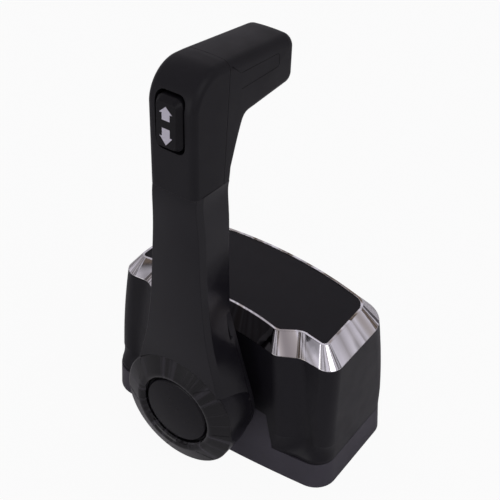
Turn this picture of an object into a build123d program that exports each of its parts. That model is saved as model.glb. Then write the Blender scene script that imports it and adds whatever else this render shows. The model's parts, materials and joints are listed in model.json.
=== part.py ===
"""Side-lever boat throttle control for top mounting.

Frame: origin at the centre of the base's underside, +Z up, +Y towards the bow (the lever is pushed
that way for ahead), +X across the housing from the lever side to the far side. All sizes are in mm.
The lever turns about an axis along X, at AXIS_HEIGHT above the mounting face.
"""

import os
from math import acos, asin, cos, degrees, pi, radians, sin, tan

from build123d import *

# ---------------------------------------------------------------- driving dimensions
# Base
BASE_LENGTH = 155.6
BASE_END = BASE_LENGTH / 2
SKIRT_HEIGHT = 16.0
FLOOR = 5.0
LIP_HEIGHT = 4.0
LIP_WALL = 2.0
CUTOUT_LENGTH = BASE_LENGTH - 65.6
CUTOUT_WIDTH = 30.0
MOUNT_SPACING_X = 44.0
MOUNT_SPACING_Y = BASE_LENGTH - 29.6
MOUNT_HOLE = 6.6
MOUNT_BOSS = 15.0
MOUNT_BOSS_HEIGHT = 9.0
GASKET_GROOVE = 1.5
GASKET_WIDTH = 3.5
GASKET_INSET = 2.6
APRON_HEIGHT = 41.0       # panel of the base behind the lever's hub, in one face with the skirt
APRON_FOOT_HALF = 42.0
APRON_TOP_HALF = 37.2
APRON_INNER_X = -31.7

# Housing
HOUSING_HEIGHT = 100.0
RING_HEIGHT = 10.0        # height of the bright bevel ring
RING_FOOT = HOUSING_HEIGHT - RING_HEIGHT
SILL_HEIGHT = 2.5         # upright band at the foot of the shell
SCOOP_HEIGHT = 12.0       # above the sill, the flutes start with a scooped hollow
WALL = 2.6
FLANGE = 8.0
FLANGE_THICK = 2.6
COVER_THICK = 3.0
COVER_SINK = 0.4          # the lid lies this far below the ring's top edge
RING_LIP = 1.4
RING_SEAT = 5.0
FIT_GAP = 0.2             # play between parts that are put together once

# Lever axis and hub
AXIS_HEIGHT = 50.0
HUB_RADIUS = 36.0
RIM_X = -71.0             # plane of the bevel ring's outer rim
LIP_X = -75.0             # plane of the bevel ring's mouth
BEVEL_INNER = 26.4
MOUTH_RADIUS = 21.7
RING_EDGE = 1.2
ARM_BACK_X = -50.0
BACK_COVER_X = -45.6
POCKET_RADIUS = 21.4
POCKET_FLOOR_X = -60.0

# Arm
SEAM_HEIGHT = 196.5
CROWN_X = -73.0
ARM_BEVEL = (4.6, 0.8)    # depth and width of the narrow bevel beside the arm's front

# Head and grip
HEAD_HALF = 13.6
HEAD_FACE = (25.4, 27.0)  # how far the head's front stands out from the arm's back, at its foot and its bend
HEAD_RISE = 62.0          # top of the head above the arm's seam
HEAD_EDGE = 3.8
HEAD_BEND = 18.0
GRIP_LENGTH = 51.0
GRIP_TOP_RISE = (60.7, 56.2)   # top of the grip above the seam, at its root and its end
GRIP_FOOT_RISE = (29.6, 31.4)  # underside of the grip above the seam, at its root and its end
ROCKER_HEIGHT = SEAM_HEIGHT + 37.5
ROCKER_RECESS = (16.4, 29.0)

# Running gear
RUN_GAP = 0.05            # radial play of turning and sliding fits
SHAFT_RADIUS = 8.0
ROD_RADIUS = 4.0
SHAFT_BORE = ROD_RADIUS + RUN_GAP
GEAR_MODULE = 1.25
GEAR_TEETH = 36
PINION_TEETH = 16
BUTTON_RADIUS = 20.6
BUTTON_TRAVEL = 3.0
FORWARD_DEG = 85.0
REVERSE_DEG = 60.0


# ---------------------------------------------------------------- shared helpers
def axis_plane(x):
    """Plane square to the lever axis, centred on it: local x is the bow direction, local y is up."""
    return Plane(origin=(x, 0, AXIS_HEIGHT), x_dir=(0, 1, 0), z_dir=(1, 0, 0))


def side_plane(y):
    """Plane along the lever axis, seen from the stern side: local x runs across, local y is up."""
    return Plane(origin=(0, y, 0), x_dir=(1, 0, 0), z_dir=(0, -1, 0))


def across(x_from, x_to, radius, bore=0.0):
    """A round part on the lever axis, from one x to another, with or without a bore."""
    with BuildPart() as item:
        with BuildSketch(axis_plane(x_from)):
            Circle(radius)
            if bore:
                Circle(bore, mode=Mode.SUBTRACT)
        extrude(amount=x_to - x_from)
    return item.part


def base_outline(near, far, corners, ends):
    """Outline of the base at one height.

    near and far hold the x of each long side at its stern end, middle and bow end, corners the radii
    near-stern, near-bow and far, and ends how far the stern and bow walls lie inside the base's ends.
    """
    stern, bow = ends[0] - BASE_END, BASE_END - ends[1]
    with BuildSketch() as outline:
        with BuildLine():
            ThreePointArc((near[0], stern), (near[1], 0), (near[2], bow))
            Line((near[2], bow), (far[2], bow))
            ThreePointArc((far[2], bow), (far[1], 0), (far[0], stern))
            Line((far[0], stern), (near[0], stern))
        make_face()
        places = [(near[0], stern, corners[0]), (near[2], bow, corners[1])]
        places += [(far[0], stern, corners[2]), (far[2], bow, corners[2])]
        for x, y, radius in places:
            fillet(outline.vertices().sort_by_distance(Vector(x, y, 0))[0], radius)
    return outline.sketch


def housing_points(spec):
    """The corner points of a housing outline as (x, y, radius), from its stern and bow halves."""
    stern = [(x, inset - BASE_END, radius) for x, inset, radius in spec["stern"]]
    bow = [(x, BASE_END - inset, radius) for x, inset, radius in spec["bow"]]
    return stern, bow


def housing_outline(spec):
    """Outline of the housing at one height.

    The near side is hollow between two ridges, then steps in to a flute before each corner. The stern
    and bow halves each list ridge, flute, near corner and far corner as (x, distance inside the
    base's end, radius). hollow and far are the x of the two long sides in the middle.
    """
    stern, bow = housing_points(spec)
    with BuildSketch() as outline:
        with BuildLine():
            ThreePointArc(bow[0][:2], (spec["hollow"], 0), stern[0][:2])
            Polyline(stern[0][:2], stern[1][:2], stern[2][:2], stern[3][:2])
            ThreePointArc(stern[3][:2], (spec["far"], 0), bow[3][:2])
            Polyline(bow[3][:2], bow[2][:2], bow[1][:2], bow[0][:2])
        make_face()
        for x, y, radius in stern + bow:
            fillet(outline.vertices().sort_by_distance(Vector(x, y, 0))[0], radius)
    return outline.sketch


def between(low, high, share, flute_share):
    """A housing outline part of the way from low to high; the flutes follow their own share."""
    def mixed(a, b, part):
        return tuple(u + (v - u) * part for u, v in zip(a, b))

    def side(name):
        return [mixed(a, b, flute_share if i == 1 else share)
                for i, (a, b) in enumerate(zip(low[name], high[name]))]

    return {"stern": side("stern"), "bow": side("bow"),
            "hollow": low["hollow"] + (high["hollow"] - low["hollow"]) * share,
            "far": low["far"] + (high["far"] - low["far"]) * share}


def pulled_in(sketch, amount):
    """The same outline pulled in all round by amount."""
    return offset(sketch, amount=-amount, kind=Kind.INTERSECTION, mode=Mode.PRIVATE)


def laid(sketch, amount, height):
    """The same outline pulled in by amount and laid at a height."""
    return Plane.XY.offset(height) * (pulled_in(sketch, amount) if amount else sketch)


# Outlines by height: the base's foot and top, the shell's sill, hip, waist and shoulder, the ring's top
BASE_FOOT = base_outline((-35.2, -42.0, -40.8), (37.0, 40.6, 37.0), (14.0, 16.0, 13.0), (0.0, 0.0))
BASE_TOP = base_outline((-33.2, -40.2, -39.6), (37.0, 40.4, 37.0), (13.0, 14.0, 11.0), (2.6, 0.5))
SILL = {"stern": [(-37.0, 33.8, 26.0), (-34.7, 20.8, 26.0), (-33.2, 2.7, 12.5), (36.9, 2.7, 11.0)],
        "bow": [(-40.6, 33.8, 26.0), (-39.4, 20.8, 26.0), (-39.4, 0.7, 13.5), (36.9, 0.7, 11.0)],
        "hollow": -37.4, "far": 40.3}
HIP = {"stern": [(-38.6, 30.3, 9.0), (-29.9, 18.0, 8.0), (-34.0, 2.5, 8.0), (36.0, 2.6, 11.5)],
       "bow": [(-40.4, 30.3, 9.0), (-34.4, 18.0, 8.0), (-38.6, 2.0, 9.0), (36.0, 2.0, 11.5)],
       "hollow": -36.4, "far": 40.0}
WAIST = {"stern": [(-40.4, 32.8, 9.0), (-32.2, 21.8, 10.0), (-34.4, 2.9, 8.5), (32.5, 2.9, 16.0)],
         "bow": [(-40.8, 32.8, 9.0), (-34.0, 21.8, 10.0), (-36.8, 3.1, 9.5), (32.5, 3.1, 16.0)],
         "hollow": -36.2, "far": 38.5}
SHOULDER = {"stern": [(-39.6, 37.4, 7.0), (-32.6, 24.8, 9.0), (-34.2, 3.7, 8.5), (26.8, 4.1, 20.5)],
            "bow": [(-39.6, 37.4, 7.0), (-33.0, 24.8, 9.0), (-34.9, 6.2, 9.0), (26.8, 6.2, 16.0)],
            "hollow": -35.4, "far": 36.0}
TOP = {"stern": [(-31.6, 41.8, 6.0), (-24.0, 30.3, 7.0), (-26.8, 13.6, 3.6), (18.8, 14.6, 11.0)],
       "bow": [(-31.6, 41.8, 6.0), (-24.2, 30.3, 7.0), (-27.0, 13.6, 3.8), (23.4, 13.6, 10.0)],
       "hollow": -27.0, "far": 30.0}

SILL_TOP = SKIRT_HEIGHT + SILL_HEIGHT
HIP_HEIGHT = SILL_TOP + SCOOP_HEIGHT
SILL_OUTLINE = housing_outline(SILL)
HIP_OUTLINE = housing_outline(HIP)
WAIST_OUTLINE = housing_outline(WAIST)
SHOULDER_OUTLINE = housing_outline(SHOULDER)
TOP_OUTLINE = housing_outline(TOP)
SCOOP_LOW = housing_outline(between(SILL, HIP, 1 / 3, 0.62))
SCOOP_HIGH = housing_outline(between(SILL, HIP, 2 / 3, 0.92))


def housing_loft(amount):
    """The housing's body between the skirt and the bevel ring, pulled in by amount."""
    with BuildPart() as body:
        with BuildSketch(Plane.XY.offset(SKIRT_HEIGHT)):
            add(pulled_in(SILL_OUTLINE, amount) if amount else SILL_OUTLINE)
        extrude(amount=SILL_HEIGHT)
        loft(sections=[
            laid(SILL_OUTLINE, amount, SILL_TOP),
            laid(SCOOP_LOW, amount, SILL_TOP + SCOOP_HEIGHT / 3),
            laid(SCOOP_HIGH, amount, SILL_TOP + SCOOP_HEIGHT * 2 / 3),
            laid(HIP_OUTLINE, amount, HIP_HEIGHT)])
        loft(sections=[
            laid(HIP_OUTLINE, amount, HIP_HEIGHT),
            laid(WAIST_OUTLINE, amount, (HIP_HEIGHT + RING_FOOT) / 2),
            laid(SHOULDER_OUTLINE, amount, RING_FOOT)])
    return body.part


def inner_foot(amount):
    """The room inside both the sill and the hip outline, pulled in by amount."""
    with BuildSketch(mode=Mode.PRIVATE) as room:
        add(pulled_in(SILL_OUTLINE, amount))
        add(pulled_in(HIP_OUTLINE, amount), mode=Mode.INTERSECT)
    return room.sketch


# Places of the fixings in the base
MOUNT_POINTS = [(sx * MOUNT_SPACING_X / 2, sy * MOUNT_SPACING_Y / 2) for sx in (-1, 1) for sy in (-1, 1)]
COVER_SCREW_POINTS = [(x, sy * 46.0) for x in (-29.3, 29.6) for sy in (-1, 1)]
COVER_SCREW_RADIUS = 1.6
COVER_HEAD_RADIUS = 2.7
COVER_HEAD_DEPTH = 3.0
COVER_POST_TOP = SKIRT_HEIGHT + LIP_HEIGHT + 0.3
COVER_POST_RADIUS = 4.0
COVER_POST_LENGTH = 13.0
FOOT_SCREW_Y = 29.0
SOCKET_LENGTH = 20.0      # plug socket under the circuit board, across the housing
SOCKET_WIDTH = 11.0
SOCKET_Y = 2.0 - MOUNT_SPACING_Y / 2

# Stations along the shaft
SEAL_THICK = 3.0
BOSS_FACE_X = -43.5
BOSS_BACK_X = -30.0
BOSS_RADIUS = 20.0
PLATE = 3.0
NEAR_PLATE_X = -24.0
FAR_PLATE_X = 15.0
PLATE_TOP = RING_FOOT - 5.0
DRUM_RADIUS = 15.0
DRUM_X = -20.0
DETENT_X = -12.0
DETENT_THICK = 4.0
DETENT_RADIUS = 24.0
GEAR_X = 0.0
GEAR_WIDTH = 8.0
BUSH_FLANGE_X = 13.5
SHAFT_END_X = 24.0
SHAFT_NOSE_X = -68.0
JOURNAL_RADIUS = 6.0
BUSH_RADIUS = 12.0
FAR_BUSH_RADIUS = 9.0
CLIP_X = 20.2
FOOT_DEPTH = 7.4
FOOT_SCREW_POINTS = [(x, sy * FOOT_SCREW_Y) for sy in (-1, 1)
                     for x in (NEAR_PLATE_X - FOOT_DEPTH / 2, FAR_PLATE_X + PLATE + FOOT_DEPTH / 2)]
FOOT_SCREW_RADIUS = 2.0
FOOT_SCREW_DEPTH = 3.6
BOARD_Z = 14.0
BOARD_THICK = 1.6
POST_POINTS = [(12.6 * sx, y) for sx in (-1, 1) for y in (SOCKET_Y - 6.2, SOCKET_Y + 7.2)]
POST_RADIUS = 1.8

# ---------------------------------------------------------------- base
SKIRT_SLOPE = (BASE_TOP.bounding_box().min.X - BASE_FOOT.bounding_box().min.X) / SKIRT_HEIGHT
with BuildPart() as base:
    with BuildSketch():
        add(BASE_FOOT)
    with BuildSketch(Plane.XY.offset(SKIRT_HEIGHT)):
        add(BASE_TOP)
    loft(ruled=True)
    # open tray inside the skirt, with a locating lip for the shell
    with BuildSketch(Plane.XY.offset(FLOOR)):
        add(inner_foot(WALL + FIT_GAP + LIP_WALL))
    extrude(amount=SKIRT_HEIGHT, mode=Mode.SUBTRACT)
    with BuildSketch(Plane.XY.offset(SKIRT_HEIGHT)):
        add(inner_foot(WALL + 2 * FIT_GAP))
        add(inner_foot(WALL + FIT_GAP + LIP_WALL), mode=Mode.SUBTRACT)
    extrude(amount=LIP_HEIGHT)
    # apron behind the hub: the skirt's own face carried up, and the boss for the shaft bush
    with BuildSketch(Plane.XY.offset(SKIRT_HEIGHT)):
        add(BASE_TOP)
        with Locations((APRON_INNER_X, 0)):
            Rectangle(BASE_LENGTH, 2 * APRON_FOOT_HALF, align=(Align.MAX, Align.CENTER), mode=Mode.INTERSECT)
    rise = APRON_HEIGHT - SKIRT_HEIGHT
    with BuildSketch(Plane.XY.offset(APRON_HEIGHT)):
        add(Location((SKIRT_SLOPE * rise, 0, 0)) * BASE_TOP)
        with Locations((APRON_INNER_X, 0)):
            Rectangle(BASE_LENGTH, 2 * APRON_TOP_HALF, align=(Align.MAX, Align.CENTER), mode=Mode.INTERSECT)
    loft(ruled=True)
    with BuildSketch(axis_plane(BOSS_FACE_X)):
        Circle(BOSS_RADIUS)
    extrude(amount=BOSS_BACK_X - BOSS_FACE_X)
    with BuildSketch(axis_plane(BOSS_FACE_X)):
        Circle(BUSH_RADIUS)
    extrude(amount=BOSS_BACK_X - BOSS_FACE_X, mode=Mode.SUBTRACT)
    # mounting bosses and their holes
    with BuildSketch():
        with Locations(*MOUNT_POINTS):
            Circle(MOUNT_BOSS / 2)
    extrude(amount=MOUNT_BOSS_HEIGHT)
    with BuildSketch():
        with Locations(*MOUNT_POINTS):
            Circle(MOUNT_HOLE / 2)
    extrude(amount=MOUNT_BOSS_HEIGHT, mode=Mode.SUBTRACT)
    # opening for the cables and the plug socket
    with BuildSketch():
        RectangleRounded(CUTOUT_WIDTH, CUTOUT_LENGTH, 6)
        with Locations((0, SOCKET_Y)):
            Rectangle(SOCKET_LENGTH + 2 * FIT_GAP, SOCKET_WIDTH + 2 * FIT_GAP)
    extrude(amount=FLOOR, mode=Mode.SUBTRACT)
    # posts for the screws that hold the shell from below, with room for their heads
    with BuildSketch():
        with Locations(*COVER_SCREW_POINTS):
            Circle(COVER_POST_RADIUS)
    extrude(amount=COVER_POST_TOP)
    with BuildSketch():
        with Locations(*COVER_SCREW_POINTS):
            Circle(COVER_SCREW_RADIUS + FIT_GAP)
    extrude(amount=COVER_POST_TOP, mode=Mode.SUBTRACT)
    with BuildSketch():
        with Locations(*COVER_SCREW_POINTS):
            Circle(COVER_HEAD_RADIUS + FIT_GAP)
    extrude(amount=COVER_HEAD_DEPTH, mode=Mode.SUBTRACT)
    with Locations(*[(x, y, FLOOR) for x, y in FOOT_SCREW_POINTS]):
        Hole(FOOT_SCREW_RADIUS, depth=FOOT_SCREW_DEPTH)
    # posts that carry the circuit board
    with BuildSketch(Plane.XY.offset(FLOOR)):
        with Locations(*POST_POINTS):
            Circle(POST_RADIUS)
    extrude(amount=BOARD_Z - FLOOR)
    with Locations(*[(x, y, BOARD_Z) for x, y in POST_POINTS]):
        Hole(0.9, depth=6.0)
    # groove for the gasket
    with BuildSketch():
        add(pulled_in(BASE_FOOT, GASKET_INSET))
        add(pulled_in(BASE_FOOT, GASKET_INSET + GASKET_WIDTH), mode=Mode.SUBTRACT)
    extrude(amount=GASKET_GROOVE, mode=Mode.SUBTRACT)
base.part.label = "base"

with BuildPart() as base_gasket:
    with BuildSketch():
        add(pulled_in(BASE_FOOT, GASKET_INSET + FIT_GAP))
        add(pulled_in(BASE_FOOT, GASKET_INSET + GASKET_WIDTH - FIT_GAP), mode=Mode.SUBTRACT)
    extrude(amount=GASKET_GROOVE)
base_gasket.part.label = "base_gasket"

# ---------------------------------------------------------------- housing shell, bevel ring and lid
with BuildPart() as housing_shell:
    add(housing_loft(0))
    add(housing_loft(WALL), mode=Mode.SUBTRACT)
    # flange that carries the bevel ring
    with BuildSketch(Plane.XY.offset(RING_FOOT - FLANGE_THICK)):
        add(pulled_in(SHOULDER_OUTLINE, WALL / 2))
        add(pulled_in(SHOULDER_OUTLINE, FLANGE), mode=Mode.SUBTRACT)
    extrude(amount=FLANGE_THICK)
    # hanging posts for the screws from below, each tied to the wall by a rib
    with BuildSketch(Plane.XY.offset(COVER_POST_TOP + FIT_GAP)):
        with Locations(*COVER_SCREW_POINTS):
            Circle(COVER_POST_RADIUS)
        for x, y in COVER_SCREW_POINTS:
            with Locations((x, y)):
                Rectangle(6.4, 3.0, align=(Align.MAX if x < 0 else Align.MIN, Align.CENTER))
    extrude(amount=COVER_POST_LENGTH)
    with BuildSketch(Plane.XY.offset(COVER_POST_TOP + FIT_GAP)):
        with Locations(*COVER_SCREW_POINTS):
            Circle(COVER_SCREW_RADIUS)
    extrude(amount=COVER_POST_LENGTH - 1.5, mode=Mode.SUBTRACT)
    # opening for the apron and the shaft boss
    apron_sides = [(APRON_FOOT_HALF + FIT_GAP, SKIRT_HEIGHT), (APRON_TOP_HALF + FIT_GAP, APRON_HEIGHT + FIT_GAP)]
    with BuildSketch(Plane.YZ.offset(BOSS_BACK_X)):
        Polygon((-apron_sides[0][0], apron_sides[0][1]), (apron_sides[0][0], apron_sides[0][1]),
                (apron_sides[1][0], apron_sides[1][1]), (-apron_sides[1][0], apron_sides[1][1]), align=None)
    extrude(amount=-BASE_END, mode=Mode.SUBTRACT)
    with BuildSketch(axis_plane(BOSS_FACE_X)):
        Circle(BOSS_RADIUS + FIT_GAP)
    extrude(amount=BOSS_BACK_X - BOSS_FACE_X, mode=Mode.SUBTRACT)
housing_shell.part.label = "housing_shell"

with BuildPart() as bevel_ring:
    loft(sections=[laid(SHOULDER_OUTLINE, 0, RING_FOOT), laid(TOP_OUTLINE, 0, HOUSING_HEIGHT)],
         ruled=True)
    with BuildSketch(Plane.XY.offset(RING_FOOT)):
        add(pulled_in(SHOULDER_OUTLINE, RING_SEAT))
    extrude(amount=2.5, mode=Mode.SUBTRACT)
    with BuildSketch(Plane.XY.offset(RING_FOOT)):
        add(pulled_in(TOP_OUTLINE, RING_LIP + 2.6))
    extrude(amount=HOUSING_HEIGHT - RING_FOOT, mode=Mode.SUBTRACT)
    with BuildSketch(Plane.XY.offset(HOUSING_HEIGHT - COVER_SINK - COVER_THICK)):
        add(pulled_in(TOP_OUTLINE, RING_LIP))
    extrude(amount=COVER_SINK + COVER_THICK, mode=Mode.SUBTRACT)
bevel_ring.part.label = "bevel_ring"

with BuildPart() as top_cover:
    with BuildSketch(Plane.XY.offset(HOUSING_HEIGHT - COVER_SINK - COVER_THICK)):
        add(pulled_in(TOP_OUTLINE, RING_LIP + FIT_GAP / 2))
    extrude(amount=COVER_THICK)
    with BuildSketch(Plane.XY.offset(HOUSING_HEIGHT - COVER_SINK - COVER_THICK)):
        add(pulled_in(TOP_OUTLINE, RING_LIP + 2.6 + FIT_GAP))
        add(pulled_in(TOP_OUTLINE, RING_LIP + 4.4), mode=Mode.SUBTRACT)
    extrude(amount=-4.0)
top_cover.part.label = "top_cover"

with BuildPart() as cover_screws:
    with Locations(*[(x, y, COVER_HEAD_DEPTH) for x, y in COVER_SCREW_POINTS]):
        Cylinder(COVER_HEAD_RADIUS, 2.2, align=(Align.CENTER, Align.CENTER, Align.MAX))
        Cylinder(COVER_SCREW_RADIUS, COVER_POST_TOP + COVER_POST_LENGTH - COVER_HEAD_DEPTH - 3.0,
                 align=(Align.CENTER, Align.CENTER, Align.MIN))
cover_screws.part.label = "cover_screws"

# ---------------------------------------------------------------- chassis inside the housing
PLATE_POINTS = [(-37, FLOOR), (-37, 60), (-31, PLATE_TOP), (31, PLATE_TOP), (37, 60), (37, FLOOR)]
PLATE_RADII = [0.5, 12, 10, 10, 12, 0.5]
SPACER_POINTS = [(-31, -33), (31, -33), (-33.2, 10), (33.2, 10)]
SPACER_RADIUS = 3.6
STOP_RADIUS = 27.5
STOP_PIN = 3.0
LUG_HALF_DEG = 8.0
PINION_CENTRES = GEAR_MODULE * (GEAR_TEETH + PINION_TEETH) / 2
PINION_POINTS = [(PINION_CENTRES * cos(radians(a)), PINION_CENTRES * sin(radians(a))) for a in (45, 135)]
STOP_REACH = degrees(asin(STOP_PIN / STOP_RADIUS)) + LUG_HALF_DEG + 0.5
STOP_ANGLES = [-90 - FORWARD_DEG - STOP_REACH, -90 + REVERSE_DEG + STOP_REACH]
STOP_POINTS = [(STOP_RADIUS * cos(radians(a)), STOP_RADIUS * sin(radians(a))) for a in STOP_ANGLES]


def chassis_plate(x, toward, centre_hole):
    """A bent steel side plate from x, with its foot turned toward +X or -X."""
    with BuildPart() as plate:
        with BuildSketch(Plane.YZ.offset(x)):
            with BuildLine():
                FilletPolyline(*PLATE_POINTS, radius=PLATE_RADII, close=True)
            make_face()
        extrude(amount=PLATE)
        with BuildSketch(axis_plane(x)):
            Circle(centre_hole)
            with Locations(*SPACER_POINTS):
                Circle(2.0)
            with Locations(*STOP_POINTS):
                Circle(STOP_PIN)
            with Locations((0, -33)):
                RectangleRounded(34, 12, 4)
        extrude(amount=PLATE, mode=Mode.SUBTRACT)
        edge_x = x if toward < 0 else x + PLATE
        with Locations((edge_x, 0, FLOOR)):
            Box(FOOT_DEPTH, 74, PLATE, align=(Align.MAX if toward < 0 else Align.MIN, Align.CENTER, Align.MIN))
        with Locations(*[(edge_x + toward * FOOT_DEPTH / 2, sy * FOOT_SCREW_Y, FLOOR + PLATE) for sy in (-1, 1)]):
            Hole(2.0, depth=PLATE)
    return plate


near_plate = chassis_plate(NEAR_PLATE_X, -1, DRUM_RADIUS + 2)
near_plate.part.label = "near_plate"

far_plate = chassis_plate(FAR_PLATE_X, 1, FAR_BUSH_RADIUS)
with BuildPart() as far_plate_bored:
    add(far_plate.part)
    with BuildSketch(axis_plane(FAR_PLATE_X)):
        with Locations(*PINION_POINTS):
            Circle(4.0)
    extrude(amount=PLATE, mode=Mode.SUBTRACT)
far_plate_bored.part.label = "far_plate"

with BuildPart() as chassis_spacers:
    with BuildSketch(axis_plane(NEAR_PLATE_X + PLATE)):
        with Locations(*SPACER_POINTS):
            Circle(SPACER_RADIUS)
    extrude(amount=FAR_PLATE_X - NEAR_PLATE_X - PLATE)
    with BuildSketch(axis_plane(NEAR_PLATE_X)):
        with Locations(*SPACER_POINTS):
            Circle(2.0)
    extrude(amount=FAR_PLATE_X - NEAR_PLATE_X + PLATE)
chassis_spacers.part.label = "chassis_spacers"

with BuildPart() as stop_pins:
    with BuildSketch(axis_plane(NEAR_PLATE_X)):
        with Locations(*STOP_POINTS):
            Circle(STOP_PIN)
    extrude(amount=FAR_PLATE_X - NEAR_PLATE_X + PLATE)
stop_pins.part.label = "stop_pins"

with BuildPart() as chassis_screws:
    with Locations(*[(x, y, FLOOR + PLATE) for x, y in FOOT_SCREW_POINTS]):
        Cylinder(3.6, 2.6, align=(Align.CENTER, Align.CENTER, Align.MIN))
        Cylinder(FOOT_SCREW_RADIUS, PLATE + FOOT_SCREW_DEPTH,
                 align=(Align.CENTER, Align.CENTER, Align.MAX))
chassis_screws.part.label = "chassis_screws"

with BuildPart() as shaft_seal:
    add(across(BOSS_FACE_X, BOSS_FACE_X + SEAL_THICK, BUSH_RADIUS, SHAFT_RADIUS + RUN_GAP))
shaft_seal.part.label = "shaft_seal"

with BuildPart() as near_bush:
    add(across(BOSS_FACE_X + SEAL_THICK, BOSS_BACK_X, BUSH_RADIUS, SHAFT_RADIUS + RUN_GAP))
near_bush.part.label = "near_bush"

with BuildPart() as far_bush:
    add(across(BUSH_FLANGE_X, FAR_PLATE_X, FAR_BUSH_RADIUS + 3, JOURNAL_RADIUS + RUN_GAP))
    add(across(FAR_PLATE_X, CLIP_X - 0.2, FAR_BUSH_RADIUS, JOURNAL_RADIUS + RUN_GAP))
far_bush.part.label = "far_bush"

# friction brake: a pad under the shaft's drum, set by a screw from below
PAD_FOOT = 24.0
BRIDGE_Z = 12.0
BRIDGE_THICK = 6.5
PAD_HALF = 8.0
with BuildPart() as friction_pad:
    with Locations((DRUM_X + 4, 0, PAD_FOOT)):
        Box(7.0, 2 * PAD_HALF, AXIS_HEIGHT - DRUM_RADIUS + 3 - PAD_FOOT,
            align=(Align.CENTER, Align.CENTER, Align.MIN))
    add(across(DRUM_X - 2, DETENT_X + 2, DRUM_RADIUS + RUN_GAP), mode=Mode.SUBTRACT)
friction_pad.part.label = "friction_pad"

with BuildPart() as friction_bridge:
    with Locations((NEAR_PLATE_X + PLATE, 0, BRIDGE_Z)):
        Box(FAR_PLATE_X - NEAR_PLATE_X - PLATE, 12.0, BRIDGE_THICK,
            align=(Align.MIN, Align.CENTER, Align.MIN))
        Box(8.0, 2 * (PAD_HALF + 3), BRIDGE_THICK, align=(Align.MIN, Align.CENTER, Align.MIN))
    for side in (-1, 1):
        with Locations((NEAR_PLATE_X + PLATE, side * (PAD_HALF + 1.6), BRIDGE_Z)):
            Box(8.0, 2.8, 19.0, align=(Align.MIN, Align.CENTER, Align.MIN))
    with Locations((DRUM_X + 4, 0, BRIDGE_Z + BRIDGE_THICK)):
        Hole(3.0, depth=BRIDGE_THICK)
friction_bridge.part.label = "friction_bridge"

with BuildPart() as friction_screw:
    with Locations((DRUM_X + 4, 0, PAD_FOOT)):
        Cylinder(3.0, PAD_FOOT - 6.0, align=(Align.CENTER, Align.CENTER, Align.MAX))
    with BuildSketch(Plane.XY.offset(6.0)):
        with Locations((DRUM_X + 4, 0)):
            RegularPolygon(4.8, 6)
    extrude(amount=4.0)
friction_screw.part.label = "friction_screw"

# neutral detent: a leaf spring whose tip drops into the notch of the detent plate
NOTCH_DEPTH = 3.0
NOTCH_HALF = 3.2
LEAF = 0.8
LEAF_Z = 29.0
with BuildPart() as detent_spring:
    with BuildSketch(axis_plane(DETENT_X)):
        with BuildLine():
            FilletPolyline((-24, LEAF_Z), (-5, LEAF_Z), (0, DETENT_RADIUS - NOTCH_DEPTH + LEAF * 0.7),
                           (5, LEAF_Z), (9, LEAF_Z), radius=[1.5, 1.2, 1.5])
            offset(amount=LEAF / 2, side=Side.BOTH)
        make_face()
    extrude(amount=DETENT_THICK)
detent_spring.part.label = "detent_spring"

with BuildPart() as leaf_clamp:
    with Locations((NEAR_PLATE_X + PLATE, -21, AXIS_HEIGHT + LEAF_Z + LEAF / 2)):
        Box(DETENT_X + DETENT_THICK - NEAR_PLATE_X - PLATE + 1, 8, 4.5,
            align=(Align.MIN, Align.CENTER, Align.MIN))
leaf_clamp.part.label = "leaf_clamp"

# ---------------------------------------------------------------- gears
PRESSURE_DEG = 20.0
BACKLASH = 0.16


def involute_gear(x, teeth, width):
    """A spur gear blank on the lever axis with involute flanks and one tooth pointing to the bow."""
    pitch = GEAR_MODULE * teeth / 2
    base_r = pitch * cos(radians(PRESSURE_DEG))
    tip = pitch + GEAR_MODULE
    root = pitch - 1.25 * GEAR_MODULE
    inv_pitch = tan(radians(PRESSURE_DEG)) - radians(PRESSURE_DEG)
    half_pitch = (pi * GEAR_MODULE / 2 - BACKLASH) / 2 / pitch

    def half_angle(radius):
        turn = acos(min(1.0, base_r / radius))
        return half_pitch + inv_pitch - (tan(turn) - turn)

    radii = [root - 0.1, max(base_r, root), (pitch + base_r) / 2, pitch, (pitch + tip) / 2, tip]
    upper = [(r * cos(half_angle(r)), r * sin(half_angle(r))) for r in radii]
    lower = [(px, -py) for px, py in reversed(upper)]
    with BuildPart() as gear:
        with BuildSketch(axis_plane(x)):
            Circle(root)
            with PolarLocations(0, teeth):
                Polygon(*upper, *lower, align=None)
        extrude(amount=width)
    return gear.part


KEY_HALF = 2.0
KEY_ROOT = 6.2            # distance of the key's underside from the shaft's axis
KEY_TOP = 9.4
KEY_X = -11.6


def key_block(spare):
    """The key between shaft, detent plate and gear, or the slot for it when spare is given."""
    with BuildPart() as block:
        with Locations((KEY_X - spare, 0, AXIS_HEIGHT + KEY_ROOT)):
            Box(GEAR_X + GEAR_WIDTH - KEY_X + spare, 2 * KEY_HALF, KEY_TOP - KEY_ROOT,
                align=(Align.MIN, Align.CENTER, Align.MIN))
    return block.part


with BuildPart() as drive_gear:
    add(involute_gear(GEAR_X, GEAR_TEETH, GEAR_WIDTH))
    with BuildSketch(axis_plane(GEAR_X)):
        Circle(SHAFT_RADIUS)
        with PolarLocations(15.5, 6, start_angle=30):
            Circle(2.6)
    extrude(amount=GEAR_WIDTH, mode=Mode.SUBTRACT)
    add(key_block(1.0), mode=Mode.SUBTRACT)
drive_gear.part.label = "drive_gear"

SLEEVE_RADIUS = 11.5
with BuildPart() as shaft_sleeves:
    add(across(DETENT_X + DETENT_THICK, GEAR_X, SLEEVE_RADIUS, SHAFT_RADIUS))
    add(across(GEAR_X + GEAR_WIDTH, BUSH_FLANGE_X - 0.1, SLEEVE_RADIUS, SHAFT_RADIUS))
    add(key_block(1.0), mode=Mode.SUBTRACT)
shaft_sleeves.part.label = "shaft_sleeves"

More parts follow.
